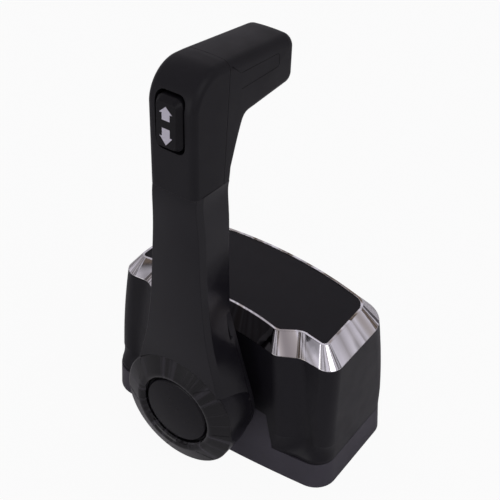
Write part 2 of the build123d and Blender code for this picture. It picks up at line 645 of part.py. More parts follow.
LUG_RADIUS = STOP_RADIUS + STOP_PIN
with BuildPart() as detent_plate:
    with BuildSketch(axis_plane(DETENT_X)):
        Circle(DETENT_RADIUS)
        with BuildLine():
            Line((0, 0), (LUG_RADIUS * sin(radians(LUG_HALF_DEG)), -LUG_RADIUS * cos(radians(LUG_HALF_DEG))))
            ThreePointArc((LUG_RADIUS * sin(radians(LUG_HALF_DEG)), -LUG_RADIUS * cos(radians(LUG_HALF_DEG))),
                          (0, -LUG_RADIUS),
                          (-LUG_RADIUS * sin(radians(LUG_HALF_DEG)), -LUG_RADIUS * cos(radians(LUG_HALF_DEG))))
            Line((-LUG_RADIUS * sin(radians(LUG_HALF_DEG)), -LUG_RADIUS * cos(radians(LUG_HALF_DEG))), (0, 0))
        make_face()
        Circle(SHAFT_RADIUS, mode=Mode.SUBTRACT)
        Polygon((0, DETENT_RADIUS - NOTCH_DEPTH), (2 * NOTCH_HALF, DETENT_RADIUS + NOTCH_DEPTH),
                (-2 * NOTCH_HALF, DETENT_RADIUS + NOTCH_DEPTH), align=None, mode=Mode.SUBTRACT)
    extrude(amount=DETENT_THICK)
    add(key_block(1.0), mode=Mode.SUBTRACT)
detent_plate.part.label = "detent_plate"

# position sensors: each has a pinion on the drive gear, one ahead and one astern of the shaft
PINION_X = 1.0
PINION_WIDTH = 6.0
STUB_RADIUS = 3.0
STUB_BACK_X = -1.0
SENSOR_X = FAR_PLATE_X + PLATE
SENSOR_LENGTH = 10.0
SENSOR_RADIUS = 11.8


def sensor_pinion(at):
    """A sensor's pinion with its stub shaft, standing at a (y, z) place relative to the axis."""
    with BuildPart() as pinion:
        add(involute_gear(PINION_X, PINION_TEETH, PINION_WIDTH))
        add(across(STUB_BACK_X, SENSOR_X + SENSOR_LENGTH - 1.0, STUB_RADIUS))
        add(across(PINION_X + PINION_WIDTH, FAR_PLATE_X - 2.0, STUB_RADIUS + 2.5))
    return pinion.part.moved(Location((0, at[0], at[1])))


def sensor_body(at):
    """A sensor's round body with its bored seat and the two ears that hold it to the plate."""
    with BuildPart() as sensor:
        with BuildSketch(Plane(origin=(SENSOR_X, at[0], AXIS_HEIGHT + at[1]), x_dir=(0, 1, 0), z_dir=(1, 0, 0))):
            Circle(SENSOR_RADIUS)
            Circle(STUB_RADIUS + RUN_GAP, mode=Mode.SUBTRACT)
        extrude(amount=SENSOR_LENGTH - 0.6)
        with BuildSketch(Plane(origin=(SENSOR_X + SENSOR_LENGTH - 0.6, at[0], AXIS_HEIGHT + at[1]),
                               x_dir=(0, 1, 0), z_dir=(1, 0, 0))):
            Circle(SENSOR_RADIUS - 1.5)
        extrude(amount=1.2)
    return sensor.part


with BuildPart() as sensor_gear_fore:
    add(sensor_pinion(PINION_POINTS[0]))
sensor_gear_fore.part.label = "sensor_gear_fore"

with BuildPart() as sensor_gear_aft:
    add(sensor_pinion(PINION_POINTS[1]))
sensor_gear_aft.part.label = "sensor_gear_aft"

with BuildPart() as sensor_fore:
    add(sensor_body(PINION_POINTS[0]))
sensor_fore.part.label = "sensor_fore"

with BuildPart() as sensor_aft:
    add(sensor_body(PINION_POINTS[1]))
sensor_aft.part.label = "sensor_aft"

# ---------------------------------------------------------------- shaft
FLAT_HALF = 6.5
NUT_X = -61.5
COLLAR_END_X = -44.2
with BuildPart() as shaft:
    add(across(SHAFT_NOSE_X, NUT_X, SHAFT_RADIUS - 1))
    with BuildSketch(axis_plane(NUT_X)):
        Circle(SHAFT_RADIUS)
        Rectangle(3 * SHAFT_RADIUS, 2 * FLAT_HALF, mode=Mode.INTERSECT)
    extrude(amount=ARM_BACK_X - NUT_X)
    add(across(ARM_BACK_X, COLLAR_END_X, SHAFT_RADIUS + 4))
    add(across(COLLAR_END_X, BUSH_FLANGE_X, SHAFT_RADIUS))
    add(across(DRUM_X, DETENT_X, DRUM_RADIUS))
    add(across(BUSH_FLANGE_X, SHAFT_END_X, JOURNAL_RADIUS))
    add(across(SHAFT_NOSE_X, SHAFT_END_X, SHAFT_BORE), mode=Mode.SUBTRACT)
    add(across(CLIP_X, CLIP_X + 1.1, JOURNAL_RADIUS + 1, JOURNAL_RADIUS - 0.9), mode=Mode.SUBTRACT)
    add(key_block(0), mode=Mode.SUBTRACT)
shaft.part.label = "shaft"

with BuildPart() as shaft_key:
    add(key_block(0))
shaft_key.part.label = "shaft_key"

with BuildPart() as shaft_circlip:
    with BuildSketch(axis_plane(CLIP_X)):
        Circle(JOURNAL_RADIUS + 2.4)
        Circle(JOURNAL_RADIUS - 0.9, mode=Mode.SUBTRACT)
        with Locations((0, -JOURNAL_RADIUS)):
            Rectangle(5, 8, mode=Mode.SUBTRACT)
    extrude(amount=1.1)
shaft_circlip.part.label = "shaft_circlip"

# ---------------------------------------------------------------- arm, its bevel ring and back cover
TANG_HEIGHT = 12.0
HEAD_SCREW_X = -61.0
SCREW_SEAT = SEAM_HEIGHT + 12.0
DUCT_X = -56.5
DUCT_FOOT = 96.0
WEDGE_TOP = 54.0
WEDGE_FOOT = 31.0
WEDGE_X = -61.0
INNER_BOSS = 27.0
BACK_SCREWS = [(0, 38), (-18, -14), (18, -14)]


def arm_section(height, front_half, back_half, apex_x, crown):
    """A level slice of the arm: flat back, slanted flanks, a narrow bevel and a crowned front."""
    edge_x = apex_x + crown
    bevel_x = edge_x + ARM_BEVEL[0]
    bevel_y = front_half + ARM_BEVEL[1]
    with BuildSketch(Plane.XY.offset(height)) as slice_face:
        with BuildLine():
            ThreePointArc((edge_x, front_half), (apex_x, 0), (edge_x, -front_half))
            Polyline((edge_x, -front_half), (bevel_x, -bevel_y), (ARM_BACK_X, -back_half),
                     (ARM_BACK_X, back_half), (bevel_x, bevel_y), (edge_x, front_half))
        make_face()
    return slice_face.sketch


# The arm's slices: height as a share of the way from the hub's axis to the head, then half widths
ARM_SLICES = [
    (0.082, 30.0, 34.3, -72.0, 0.6), (0.191, 25.9, 28.8, -72.2, 0.7), (0.287, 22.2, 23.9, -72.4, 0.8),
    (0.375, 19.5, 20.0, -72.8, 0.8), (0.478, 17.4, 17.7, -73.1, 0.9), (0.601, 15.8, 16.6, -73.4, 0.9),
    (0.73, 14.7, 15.8, -73.7, 1.0), (0.867, 13.8, 15.1, -74.0, 1.0), (1, 13.3, 14.6, -74.3, 1.0)]

with BuildPart() as arm:
    loft(sections=[arm_section(AXIS_HEIGHT + share * (SEAM_HEIGHT - AXIS_HEIGHT), front, back, apex, crown)
                   for share, front, back, apex, crown in ARM_SLICES])
    add(across(RIM_X + RING_EDGE, ARM_BACK_X, HUB_RADIUS))
    # seat of the bevel ring
    add(across(CROWN_X - 3, RIM_X + RING_EDGE, HUB_RADIUS), mode=Mode.SUBTRACT)
    # the lower part of the side wall slopes away behind the rim
    with BuildSketch(Plane.XZ):
        Polygon((ARM_BACK_X + 1, WEDGE_TOP), (ARM_BACK_X, WEDGE_TOP), (WEDGE_X, WEDGE_FOOT), (WEDGE_X, 0),
                (ARM_BACK_X + 1, 0), align=None)
    extrude(amount=2 * HUB_RADIUS, both=True, mode=Mode.SUBTRACT)
    add(across(WEDGE_X, ARM_BACK_X, INNER_BOSS))
    # pocket for the button, seat on the shaft
    add(across(RIM_X, POCKET_FLOOR_X, POCKET_RADIUS), mode=Mode.SUBTRACT)
    with BuildSketch(axis_plane(POCKET_FLOOR_X)):
        Circle(SHAFT_RADIUS)
        Rectangle(3 * SHAFT_RADIUS, 2 * FLAT_HALF, mode=Mode.INTERSECT)
    extrude(amount=ARM_BACK_X - POCKET_FLOOR_X, mode=Mode.SUBTRACT)
    # tang that carries the head, with the bore of its screw and the duct for the switch's wires
    with Locations((HEAD_SCREW_X, 0, SEAM_HEIGHT)):
        Box(11.0, 15.0, TANG_HEIGHT, align=(Align.CENTER, Align.CENTER, Align.MIN))
    with Locations((HEAD_SCREW_X, 0, SEAM_HEIGHT + TANG_HEIGHT)):
        Hole(2.5, depth=28.0)
    with Locations((DUCT_X, 0, DUCT_FOOT)):
        Box(4.0, 6.0, SEAM_HEIGHT - DUCT_FOOT + TANG_HEIGHT, align=(Align.CENTER, Align.CENTER, Align.MIN),
            mode=Mode.SUBTRACT)
    with Locations((DUCT_X, 0, DUCT_FOOT)):
        Box(ARM_BACK_X - DUCT_X, 6.0, 12.0, align=(Align.MIN, Align.CENTER, Align.MIN), mode=Mode.SUBTRACT)
    with Locations((ARM_BACK_X - 3.5, -22, AXIS_HEIGHT + 50)):
        Box(3.5, 11.0, 17.0, align=(Align.MIN, Align.MIN, Align.MIN), mode=Mode.SUBTRACT)
    with BuildSketch(axis_plane(ARM_BACK_X)):
        with Locations(*BACK_SCREWS):
            Circle(1.6)
    extrude(amount=-6.0, mode=Mode.SUBTRACT)
arm.part.label = "arm"

RING_BACK_X = RIM_X + RING_EDGE
with BuildPart() as hub_ring:
    with BuildSketch(side_plane(0)):
        with BuildLine():
            Polyline((RING_BACK_X, AXIS_HEIGHT + HUB_RADIUS), (RIM_X + 0.5, AXIS_HEIGHT + HUB_RADIUS),
                     (RIM_X, AXIS_HEIGHT + HUB_RADIUS - 0.6), (LIP_X + 0.35, AXIS_HEIGHT + BEVEL_INNER))
            ThreePointArc((LIP_X + 0.35, AXIS_HEIGHT + BEVEL_INNER), (LIP_X, AXIS_HEIGHT + BEVEL_INNER - 2.0),
                          (LIP_X + 0.9, AXIS_HEIGHT + MOUTH_RADIUS + 0.7))
            Polyline((LIP_X + 0.9, AXIS_HEIGHT + MOUTH_RADIUS + 0.7), (LIP_X + 1.9, AXIS_HEIGHT + MOUTH_RADIUS),
                     (RING_BACK_X, AXIS_HEIGHT + MOUTH_RADIUS), (RING_BACK_X, AXIS_HEIGHT + HUB_RADIUS))
        make_face()
    revolve(axis=Axis((0, 0, AXIS_HEIGHT), (1, 0, 0)))
hub_ring.part.label = "hub_ring"

with BuildPart() as arm_back_cover:
    with BuildSketch(axis_plane(ARM_BACK_X)):
        Circle(HUB_RADIUS - 2.0)
        with BuildLine():
            Polyline((32.0, 12.0), (26.6, 27.0), (20.8, 44.0), (15.6, 60.0), (12.0, 68.0), (-12.0, 68.0),
                     (-15.6, 60.0), (-20.8, 44.0), (-26.6, 27.0), (-32.0, 12.0), close=True)
        make_face()
        Circle(SHAFT_RADIUS + 4 + FIT_GAP, mode=Mode.SUBTRACT)
        with Locations(*BACK_SCREWS):
            Circle(1.6, mode=Mode.SUBTRACT)
    extrude(amount=BACK_COVER_X - ARM_BACK_X)
    with BuildSketch(axis_plane(BACK_COVER_X)):
        with Locations(*BACK_SCREWS):
            Circle(3.1)
    extrude(amount=-1.8, mode=Mode.SUBTRACT)
arm_back_cover.part.label = "arm_back_cover"

with BuildPart() as back_cover_screws:
    with BuildSketch(axis_plane(BACK_COVER_X - 1.8)):
        with Locations(*BACK_SCREWS):
            Circle(3.0)
    extrude(amount=1.6)
    with BuildSketch(axis_plane(BACK_COVER_X - 1.8)):
        with Locations(*BACK_SCREWS):
            Circle(1.6)
    extrude(amount=-8.0)
back_cover_screws.part.label = "back_cover_screws"

with BuildPart() as hub_washer:
    add(across(NUT_X, POCKET_FLOOR_X, 11.5, SHAFT_RADIUS))
hub_washer.part.label = "hub_washer"

with BuildPart() as hub_nut:
    with BuildSketch(axis_plane(NUT_X)):
        RegularPolygon(22.0 / 2, 6, major_radius=False)
        Circle(SHAFT_RADIUS - 1, mode=Mode.SUBTRACT)
    extrude(amount=-6.0)
hub_nut.part.label = "hub_nut"

# ---------------------------------------------------------------- button in the hub
CAP_DOME_X = LIP_X + 0.3
CAP_EDGE_X = CAP_DOME_X + 1.3
CAP_BACK_X = -71.2
CAP_SKIRT_X = -66.0
ROD_END_X = 25.0
with BuildPart() as button_cap:
    with BuildSketch(side_plane(0)):
        with BuildLine():
            ThreePointArc((CAP_DOME_X, AXIS_HEIGHT), (CAP_DOME_X + 0.3, AXIS_HEIGHT + 9.5),
                          (CAP_EDGE_X, AXIS_HEIGHT + BUTTON_RADIUS - 1.6))
            ThreePointArc((CAP_EDGE_X, AXIS_HEIGHT + BUTTON_RADIUS - 1.6),
                          (CAP_EDGE_X + 0.5, AXIS_HEIGHT + BUTTON_RADIUS - 0.5),
                          (CAP_EDGE_X + 1.6, AXIS_HEIGHT + BUTTON_RADIUS))
            Polyline((CAP_EDGE_X + 1.6, AXIS_HEIGHT + BUTTON_RADIUS),
                     (CAP_SKIRT_X, AXIS_HEIGHT + BUTTON_RADIUS),
                     (CAP_SKIRT_X, AXIS_HEIGHT + BUTTON_RADIUS - 2),
                     (CAP_BACK_X, AXIS_HEIGHT + BUTTON_RADIUS - 2),
                     (CAP_BACK_X, AXIS_HEIGHT), (CAP_DOME_X, AXIS_HEIGHT))
        make_face()
    revolve(axis=Axis((0, 0, AXIS_HEIGHT), (1, 0, 0)))
button_cap.part.label = "button_cap"

with BuildPart() as push_rod:
    add(across(CAP_BACK_X, ROD_END_X, ROD_RADIUS))
    add(across(SHAFT_END_X + 0.1, SHAFT_END_X + 0.8, ROD_RADIUS + 1, ROD_RADIUS - 0.6), mode=Mode.SUBTRACT)
push_rod.part.label = "push_rod"

with BuildPart() as rod_clip:
    add(across(SHAFT_END_X + 0.1, SHAFT_END_X + 0.8, ROD_RADIUS + 2.2, ROD_RADIUS - 0.6))
rod_clip.part.label = "rod_clip"

SPRING_RADIUS = 16.0
SPRING_WIRE = 1.2
SPRING_TURNS = 3
with BuildPart() as button_spring:
    with BuildLine() as coil:
        Helix(pitch=(POCKET_FLOOR_X - CAP_BACK_X - SPRING_WIRE - 0.2) / SPRING_TURNS,
              height=POCKET_FLOOR_X - CAP_BACK_X - SPRING_WIRE - 0.2, radius=SPRING_RADIUS,
              center=(CAP_BACK_X + SPRING_WIRE / 2 + 0.1, 0, AXIS_HEIGHT), direction=(1, 0, 0))
    with BuildSketch(Plane(origin=coil.line @ 0, z_dir=coil.line % 0)):
        Circle(SPRING_WIRE / 2)
    sweep(path=coil.line, is_frenet=True)
button_spring.part.label = "button_spring"

# switch behind the push rod, its plunger and its bracket
PLUNGER_X = ROD_END_X + 0.1
PLUNGER_END_X = 31.0
SWITCH_X = 29.0
SWITCH_END_X = 35.4
SWITCH_TOP = AXIS_HEIGHT + 10.0
with BuildPart() as button_switch:
    with Locations((SWITCH_X, 0, AXIS_HEIGHT - 7)):
        Box(SWITCH_END_X - SWITCH_X, 15.0, SWITCH_TOP - AXIS_HEIGHT + 7,
            align=(Align.MIN, Align.CENTER, Align.MIN))
    add(across(SWITCH_X, PLUNGER_END_X + BUTTON_TRAVEL + 0.2, 2.0 + RUN_GAP), mode=Mode.SUBTRACT)
button_switch.part.label = "button_switch"

with BuildPart() as switch_plunger:
    add(across(PLUNGER_X, PLUNGER_END_X, 2.0))
switch_plunger.part.label = "switch_plunger"

with BuildPart() as switch_bracket:
    with Locations((SENSOR_X, 0, SWITCH_TOP)):
        Box(SWITCH_END_X - SENSOR_X, 15.0, 2.0, align=(Align.MIN, Align.CENTER, Align.MIN))
        Box(2.0, 15.0, 12.0, align=(Align.MIN, Align.CENTER, Align.MIN))
switch_bracket.part.label = "switch_bracket"

# ---------------------------------------------------------------- circuit board and plug socket
with BuildPart() as circuit_board:
    with BuildSketch(Plane.XY.offset(BOARD_Z)):
        with Locations((0, SOCKET_Y + 0.5)):
            Rectangle(29.0, 17.4)
        with Locations(*POST_POINTS):
            Circle(0.9, mode=Mode.SUBTRACT)
    extrude(amount=BOARD_THICK)
circuit_board.part.label = "circuit_board"

with BuildPart() as board_screws:
    with Locations(*[(x, y, BOARD_Z + BOARD_THICK) for x, y in POST_POINTS]):
        Cylinder(1.7, 1.4, align=(Align.CENTER, Align.CENTER, Align.MIN))
        Cylinder(0.9, 6.0, align=(Align.CENTER, Align.CENTER, Align.MAX))
board_screws.part.label = "board_screws"

with BuildPart() as plug_socket:
    with Locations((0, SOCKET_Y, 1.0)):
        Box(SOCKET_LENGTH, SOCKET_WIDTH, BOARD_Z - 1.0, align=(Align.CENTER, Align.CENTER, Align.MIN))
        Box(SOCKET_LENGTH - 3, SOCKET_WIDTH - 3, 8.0, align=(Align.CENTER, Align.CENTER, Align.MIN),
            mode=Mode.SUBTRACT)
plug_socket.part.label = "plug_socket"

# ---------------------------------------------------------------- head and grip
SPIGOT_HEIGHT = SEAM_HEIGHT + 41.5
ROCKER_PIVOT_X = -68.4
ROCKER_FACE_X = -79.2
CAVITY = (10.0, 13.2)     # room for the switch behind the rocker: depth and width
CAVITY_TOP = ROCKER_HEIGHT + 11.0
SPIGOT = (24.0, 13.0, 11.0)
GRIP_SCREW_X = ARM_BACK_X + 17.5

with BuildPart() as head_shell:
    with BuildSketch(side_plane(HEAD_HALF)):
        with BuildLine():
            Polyline((ARM_BACK_X, SEAM_HEIGHT), (ARM_BACK_X, SEAM_HEIGHT + GRIP_TOP_RISE[0]))
            Line((ARM_BACK_X, SEAM_HEIGHT + GRIP_TOP_RISE[0]), (ARM_BACK_X - 6.0, SEAM_HEIGHT + HEAD_RISE - 0.5))
            FilletPolyline((ARM_BACK_X - 6.0, SEAM_HEIGHT + HEAD_RISE - 0.5),
                           (ARM_BACK_X - HEAD_FACE[1], SEAM_HEIGHT + HEAD_RISE + 0.6),
                           (ARM_BACK_X - HEAD_FACE[0], SEAM_HEIGHT), radius=HEAD_BEND)
            Line((ARM_BACK_X - HEAD_FACE[0], SEAM_HEIGHT), (ARM_BACK_X, SEAM_HEIGHT))
        make_face()
    extrude(amount=2 * HEAD_HALF)
    outer = [e for e in head_shell.edges() if abs(abs(e.center().Y) - HEAD_HALF) < 0.01
             and e.center().X < ARM_BACK_X - 1 and e.center().Z > SEAM_HEIGHT + 1]
    fillet(outer, HEAD_EDGE)
    # recess of the rocker, room for its switch, pivot bore
    with BuildSketch(axis_plane(ROCKER_PIVOT_X + 2.4)):
        with Locations((0, ROCKER_HEIGHT - AXIS_HEIGHT)):
            RectangleRounded(ROCKER_RECESS[0], ROCKER_RECESS[1], 4)
    extrude(amount=-14.0, mode=Mode.SUBTRACT)
    with Locations((ROCKER_PIVOT_X + 2.4, 0, SCREW_SEAT)):
        Box(CAVITY[0], CAVITY[1], CAVITY_TOP - SCREW_SEAT, align=(Align.MIN, Align.CENTER, Align.MIN),
            mode=Mode.SUBTRACT)
    with BuildSketch(side_plane(10.2)):
        with Locations((ROCKER_PIVOT_X, ROCKER_HEIGHT)):
            Circle(1.5 + RUN_GAP)
    extrude(amount=20.4, mode=Mode.SUBTRACT)
    # socket for the arm's tang, and the wire duct beside it
    with Locations((HEAD_SCREW_X, 0, SEAM_HEIGHT)):
        Box(11.0, 15.0, TANG_HEIGHT, align=(Align.CENTER, Align.CENTER, Align.MIN), mode=Mode.SUBTRACT)
    # spigot that carries the grip
    with Locations((ARM_BACK_X, 0, SPIGOT_HEIGHT)):
        Box(SPIGOT[0], SPIGOT[1], SPIGOT[2], align=(Align.MIN, Align.CENTER, Align.CENTER))
    with Locations((GRIP_SCREW_X, 0, SPIGOT_HEIGHT)):
        Cylinder(2.0, SPIGOT[2], mode=Mode.SUBTRACT)
head_shell.part.label = "head_shell"

with BuildPart() as head_screw:
    with Locations((HEAD_SCREW_X, 0, SCREW_SEAT)):
        Cylinder(4.4, 4.0, align=(Align.CENTER, Align.CENTER, Align.MIN))
        Cylinder(2.5, 26.0, align=(Align.CENTER, Align.CENTER, Align.MAX))
head_screw.part.label = "head_screw"

with BuildPart() as trim_switch:
    with Locations((ROCKER_PIVOT_X + 3.4, 0, ROCKER_HEIGHT)):
        Box(CAVITY[0] - 1.0, CAVITY[1], 2 * (CAVITY_TOP - ROCKER_HEIGHT) - 0.4,
            align=(Align.MIN, Align.CENTER, Align.CENTER))
trim_switch.part.label = "trim_switch"

ROCKER_HALF = (7.4, 13.2)
ROCKER_CROWN = 3.0
with BuildPart() as trim_rocker:
    with BuildSketch(axis_plane(ROCKER_PIVOT_X - 2.2)):
        with Locations((0, ROCKER_HEIGHT - AXIS_HEIGHT)):
            RectangleRounded(2 * ROCKER_HALF[0], 2 * ROCKER_HALF[1], 4)
    extrude(amount=ROCKER_FACE_X + ROCKER_CROWN - ROCKER_PIVOT_X + 2.2)
    with BuildSketch(axis_plane(ROCKER_FACE_X + ROCKER_CROWN)):
        with Locations((0, ROCKER_HEIGHT - AXIS_HEIGHT)):
            RectangleRounded(2 * ROCKER_HALF[0], 2 * ROCKER_HALF[1], 4)
    extrude(amount=-ROCKER_CROWN, taper=32)
    with Locations((ROCKER_PIVOT_X, 0, ROCKER_HEIGHT)):
        Box(4.4, 10.0, 6.0)
    with BuildSketch(side_plane(5.2)):
        with Locations((ROCKER_PIVOT_X, ROCKER_HEIGHT)):
            Circle(1.5)
    extrude(amount=10.4, mode=Mode.SUBTRACT)
trim_rocker.part.label = "trim_rocker"

with BuildPart() as rocker_pin:
    with BuildSketch(side_plane(10.0)):
        with Locations((ROCKER_PIVOT_X, ROCKER_HEIGHT)):
            Circle(1.5)
    extrude(amount=20.0)
rocker_pin.part.label = "rocker_pin"


GRIP_END_X = ARM_BACK_X + GRIP_LENGTH
GRIP_TOP = (SEAM_HEIGHT + GRIP_TOP_RISE[0], SEAM_HEIGHT + GRIP_TOP_RISE[1])
GRIP_FOOT = (SEAM_HEIGHT + GRIP_FOOT_RISE[0], SEAM_HEIGHT + GRIP_FOOT_RISE[1])
INLAY_X = -27.0
INLAY_Z = SEAM_HEIGHT + 48.4
INLAY_SIZE = (33.0, 6.4)


def grip_section(x, top, foot, half, drop):
    """An upright slice of the grip: flat underside and sides, and a shallow crown that ends drop lower."""
    with BuildSketch(Plane(origin=(x, 0, 0), x_dir=(0, 1, 0), z_dir=(1, 0, 0))) as slice_face:
        with BuildLine():
            ThreePointArc((half - 1.2, top - drop), (0, top), (1.2 - half, top - drop))
            Polyline((1.2 - half, top - drop), (-half, top - drop - 3.4), (-half, foot + 2.4),
                     (2.4 - half, foot), (half - 2.4, foot), (half, foot + 2.4),
                     (half, top - drop - 3.4), (half - 1.2, top - drop))
        make_face()
    return slice_face.sketch


with BuildPart() as grip:
    loft(sections=[grip_section(ARM_BACK_X, GRIP_TOP[0], GRIP_FOOT[0], HEAD_HALF, 2.2),
                   grip_section(GRIP_END_X + 1.0, GRIP_TOP[1], GRIP_FOOT[1], HEAD_HALF - 0.4, 2.0)],
         ruled=True)
    with BuildSketch(side_plane(0)):
        with BuildLine():
            FilletPolyline((ARM_BACK_X, GRIP_FOOT[0] - 1), (ARM_BACK_X, GRIP_TOP[0] + 6),
                           (GRIP_END_X, GRIP_TOP[1] + 0.6), (GRIP_END_X, GRIP_FOOT[1]),
                           close=True, radius=[0.1, 0.1, 4.0, 6.0])
        make_face()
    extrude(amount=HEAD_HALF * 2, both=True, mode=Mode.INTERSECT)
    with BuildSketch(Plane.XY.offset(SEAM_HEIGHT)):
        with BuildLine():
            FilletPolyline((ARM_BACK_X, -HEAD_HALF), (ARM_BACK_X, HEAD_HALF), (GRIP_END_X, HEAD_HALF),
                           (GRIP_END_X, -HEAD_HALF), close=True, radius=[0.1, 0.1, 4.0, 4.0])
        make_face()
    extrude(amount=BASE_END, mode=Mode.INTERSECT)
    # web under the grip where it meets the head
    with BuildSketch(side_plane(0)):
        Polygon((ARM_BACK_X, GRIP_FOOT[0] + 3), (ARM_BACK_X, SEAM_HEIGHT + 3.0),
                (ARM_BACK_X + 1.9, SEAM_HEIGHT + 7.0), (ARM_BACK_X + 11.1, GRIP_FOOT[0] - 1.2),
                (ARM_BACK_X + 13.5, GRIP_FOOT[0] + 0.6), (ARM_BACK_X + 13.5, GRIP_FOOT[0] + 3), align=None)
    extrude(amount=HEAD_HALF - 1.0, both=True)
    with Locations((ARM_BACK_X, 0, SPIGOT_HEIGHT)):
        Box(SPIGOT[0], SPIGOT[1], SPIGOT[2], align=(Align.MIN, Align.CENTER, Align.CENTER), mode=Mode.SUBTRACT)
    with Locations((GRIP_SCREW_X, 0, GRIP_FOOT[0])):
        Cylinder(3.2, 3.4, align=(Align.CENTER, Align.CENTER, Align.MIN), mode=Mode.SUBTRACT)
        Cylinder(2.0, 10.0, align=(Align.CENTER, Align.CENTER, Align.MIN), mode=Mode.SUBTRACT)
    for side in (-1, 1):
        with Locations((INLAY_X, side * HEAD_HALF, INLAY_Z)):
            Box(INLAY_SIZE[0] + 2 * FIT_GAP, 2.4, INLAY_SIZE[1] + 2 * FIT_GAP, mode=Mode.SUBTRACT)
grip.part.label = "grip"

with BuildPart() as grip_inlays:
    for side in (-1, 1):
        with Locations((INLAY_X, side * (HEAD_HALF - 1.2), INLAY_Z)):
            Box(INLAY_SIZE[0], 1.0, INLAY_SIZE[1], align=(Align.CENTER, Align.MIN if side > 0 else Align.MAX, Align.CENTER))
grip_inlays.part.label = "grip_inlays"

with BuildPart() as grip_screw:
    with Locations((GRIP_SCREW_X, 0, GRIP_FOOT[0] + 3.4)):
        Cylinder(3.0, 2.4, align=(Align.CENTER, Align.CENTER, Align.MAX))
        Cylinder(2.0, 12.0, align=(Align.CENTER, Align.CENTER, Align.MIN))
grip_screw.part.label = "grip_screw"

# ---------------------------------------------------------------- export
os.makedirs("parts", exist_ok=True)
finished = [base, base_gasket, housing_shell, bevel_ring, top_cover, cover_screws, near_plate,
            far_plate_bored, chassis_spacers, stop_pins, chassis_screws, shaft_seal, near_bush, far_bush,
            friction_pad, friction_bridge, friction_screw, detent_spring, leaf_clamp, sensor_fore,
            sensor_aft, sensor_gear_fore, sensor_gear_aft, drive_gear, shaft_sleeves, detent_plate,
            shaft, shaft_key, shaft_circlip, arm, hub_ring, arm_back_cover, back_cover_screws,
            hub_washer, hub_nut, button_cap, push_rod, rod_clip, button_spring, button_switch,
            switch_plunger, switch_bracket, circuit_board, board_screws, plug_socket, head_shell,
            head_screw, trim_switch, trim_rocker, rocker_pin, grip, grip_inlays, grip_screw]
for item in finished:
    export_step(item.part, f"parts/{item.part.label}.step")
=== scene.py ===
"""Looks of the boat throttle control lever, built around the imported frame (Blender 4.5)."""
import json
import math

import bmesh
import bpy
from mathutils import Matrix, Vector


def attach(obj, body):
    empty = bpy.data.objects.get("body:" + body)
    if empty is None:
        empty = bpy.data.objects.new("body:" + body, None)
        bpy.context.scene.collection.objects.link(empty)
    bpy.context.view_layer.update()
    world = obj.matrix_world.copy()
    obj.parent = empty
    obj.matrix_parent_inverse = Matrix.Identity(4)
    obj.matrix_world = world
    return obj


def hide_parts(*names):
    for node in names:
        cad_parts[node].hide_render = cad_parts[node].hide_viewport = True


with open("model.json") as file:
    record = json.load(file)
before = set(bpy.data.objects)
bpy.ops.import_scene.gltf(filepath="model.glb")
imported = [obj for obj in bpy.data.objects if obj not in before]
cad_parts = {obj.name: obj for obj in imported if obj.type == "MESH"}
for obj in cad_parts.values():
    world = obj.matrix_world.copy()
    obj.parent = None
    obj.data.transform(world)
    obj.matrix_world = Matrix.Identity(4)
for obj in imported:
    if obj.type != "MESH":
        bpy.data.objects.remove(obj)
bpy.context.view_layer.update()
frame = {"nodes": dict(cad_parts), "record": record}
MM = 0.001
AXIS_HEIGHT = 50.0
PALE = (0.62, 0.60, 0.68)


# ---------------------------------------------------------------- camera
CAMERA_PLACE = (-0.3716, -0.2412, 0.4542)
CAMERA_TURN = (-56.498, 37.189, -3.041)   # azimuth, elevation and roll in degrees
LENS, SENSOR = 71.28, 36.0
CLIP = (0.01, 20.0)


def make_camera():
    """The photograph's viewing angle, as an azimuth, an elevation and a roll."""
    azimuth, elevation, roll = (math.radians(a) for a in CAMERA_TURN)
    back = Vector((math.sin(azimuth) * math.cos(elevation), -math.cos(azimuth) * math.cos(elevation),
                   math.sin(elevation)))
    right = Vector((math.cos(azimuth), math.sin(azimuth), 0.0))
    up = back.cross(right)
    turned_right = right * math.cos(roll) - up * math.sin(roll)
    turned_up = right * math.sin(roll) + up * math.cos(roll)
    data = bpy.data.cameras.new("camera")
    data.sensor_width = SENSOR
    data.lens = LENS
    data.clip_start, data.clip_end = CLIP
    camera = bpy.data.objects.new("camera", data)
    bpy.context.scene.collection.objects.link(camera)
    turn = Matrix((turned_right, turned_up, back)).transposed().to_4x4()
    camera.matrix_world = Matrix.Translation(Vector(CAMERA_PLACE)) @ turn
    bpy.context.scene.camera = camera


make_camera()


# ---------------------------------------------------------------- materials
PATTERN_RANGE = (0.3, 0.7)   # where nearly all of a noise pattern's values lie
BEVEL_SAMPLES = 6


def start_material(name):
    """A new material with its nodes, links, shader and the coordinates of the object."""
    material = bpy.data.materials.new(name)
    material.use_nodes = True
    nodes = material.node_tree.nodes
    links = material.node_tree.links
    shader = nodes["Principled BSDF"]
    where = nodes.new("ShaderNodeTexCoord").outputs["Object"]
    return material, nodes, links, shader, where


def noise(nodes, links, where, scale, detail, stretch=None):
    """A noise pattern; scale is in cycles per metre."""
    pattern = nodes.new("ShaderNodeTexNoise")
    pattern.inputs["Scale"].default_value = scale
    pattern.inputs["Detail"].default_value = detail
    if stretch:
        mapping = nodes.new("ShaderNodeMapping")
        mapping.inputs["Scale"].default_value = stretch
        links.new(where, mapping.inputs["Vector"])
        where = mapping.outputs["Vector"]
    links.new(where, pattern.inputs["Vector"])
    return pattern.outputs["Fac"]


def ramp(nodes, links, factor, low, high, reach=PATTERN_RANGE):
    """Spreads a pattern between two colours."""
    node = nodes.new("ShaderNodeValToRGB")
    node.color_ramp.elements[0].position = reach[0]
    node.color_ramp.elements[1].position = reach[1]
    node.color_ramp.elements[0].color = (*low, 1.0)
    node.color_ramp.elements[1].color = (*high, 1.0)
    links.new(factor, node.inputs["Fac"])
    return node.outputs["Color"]


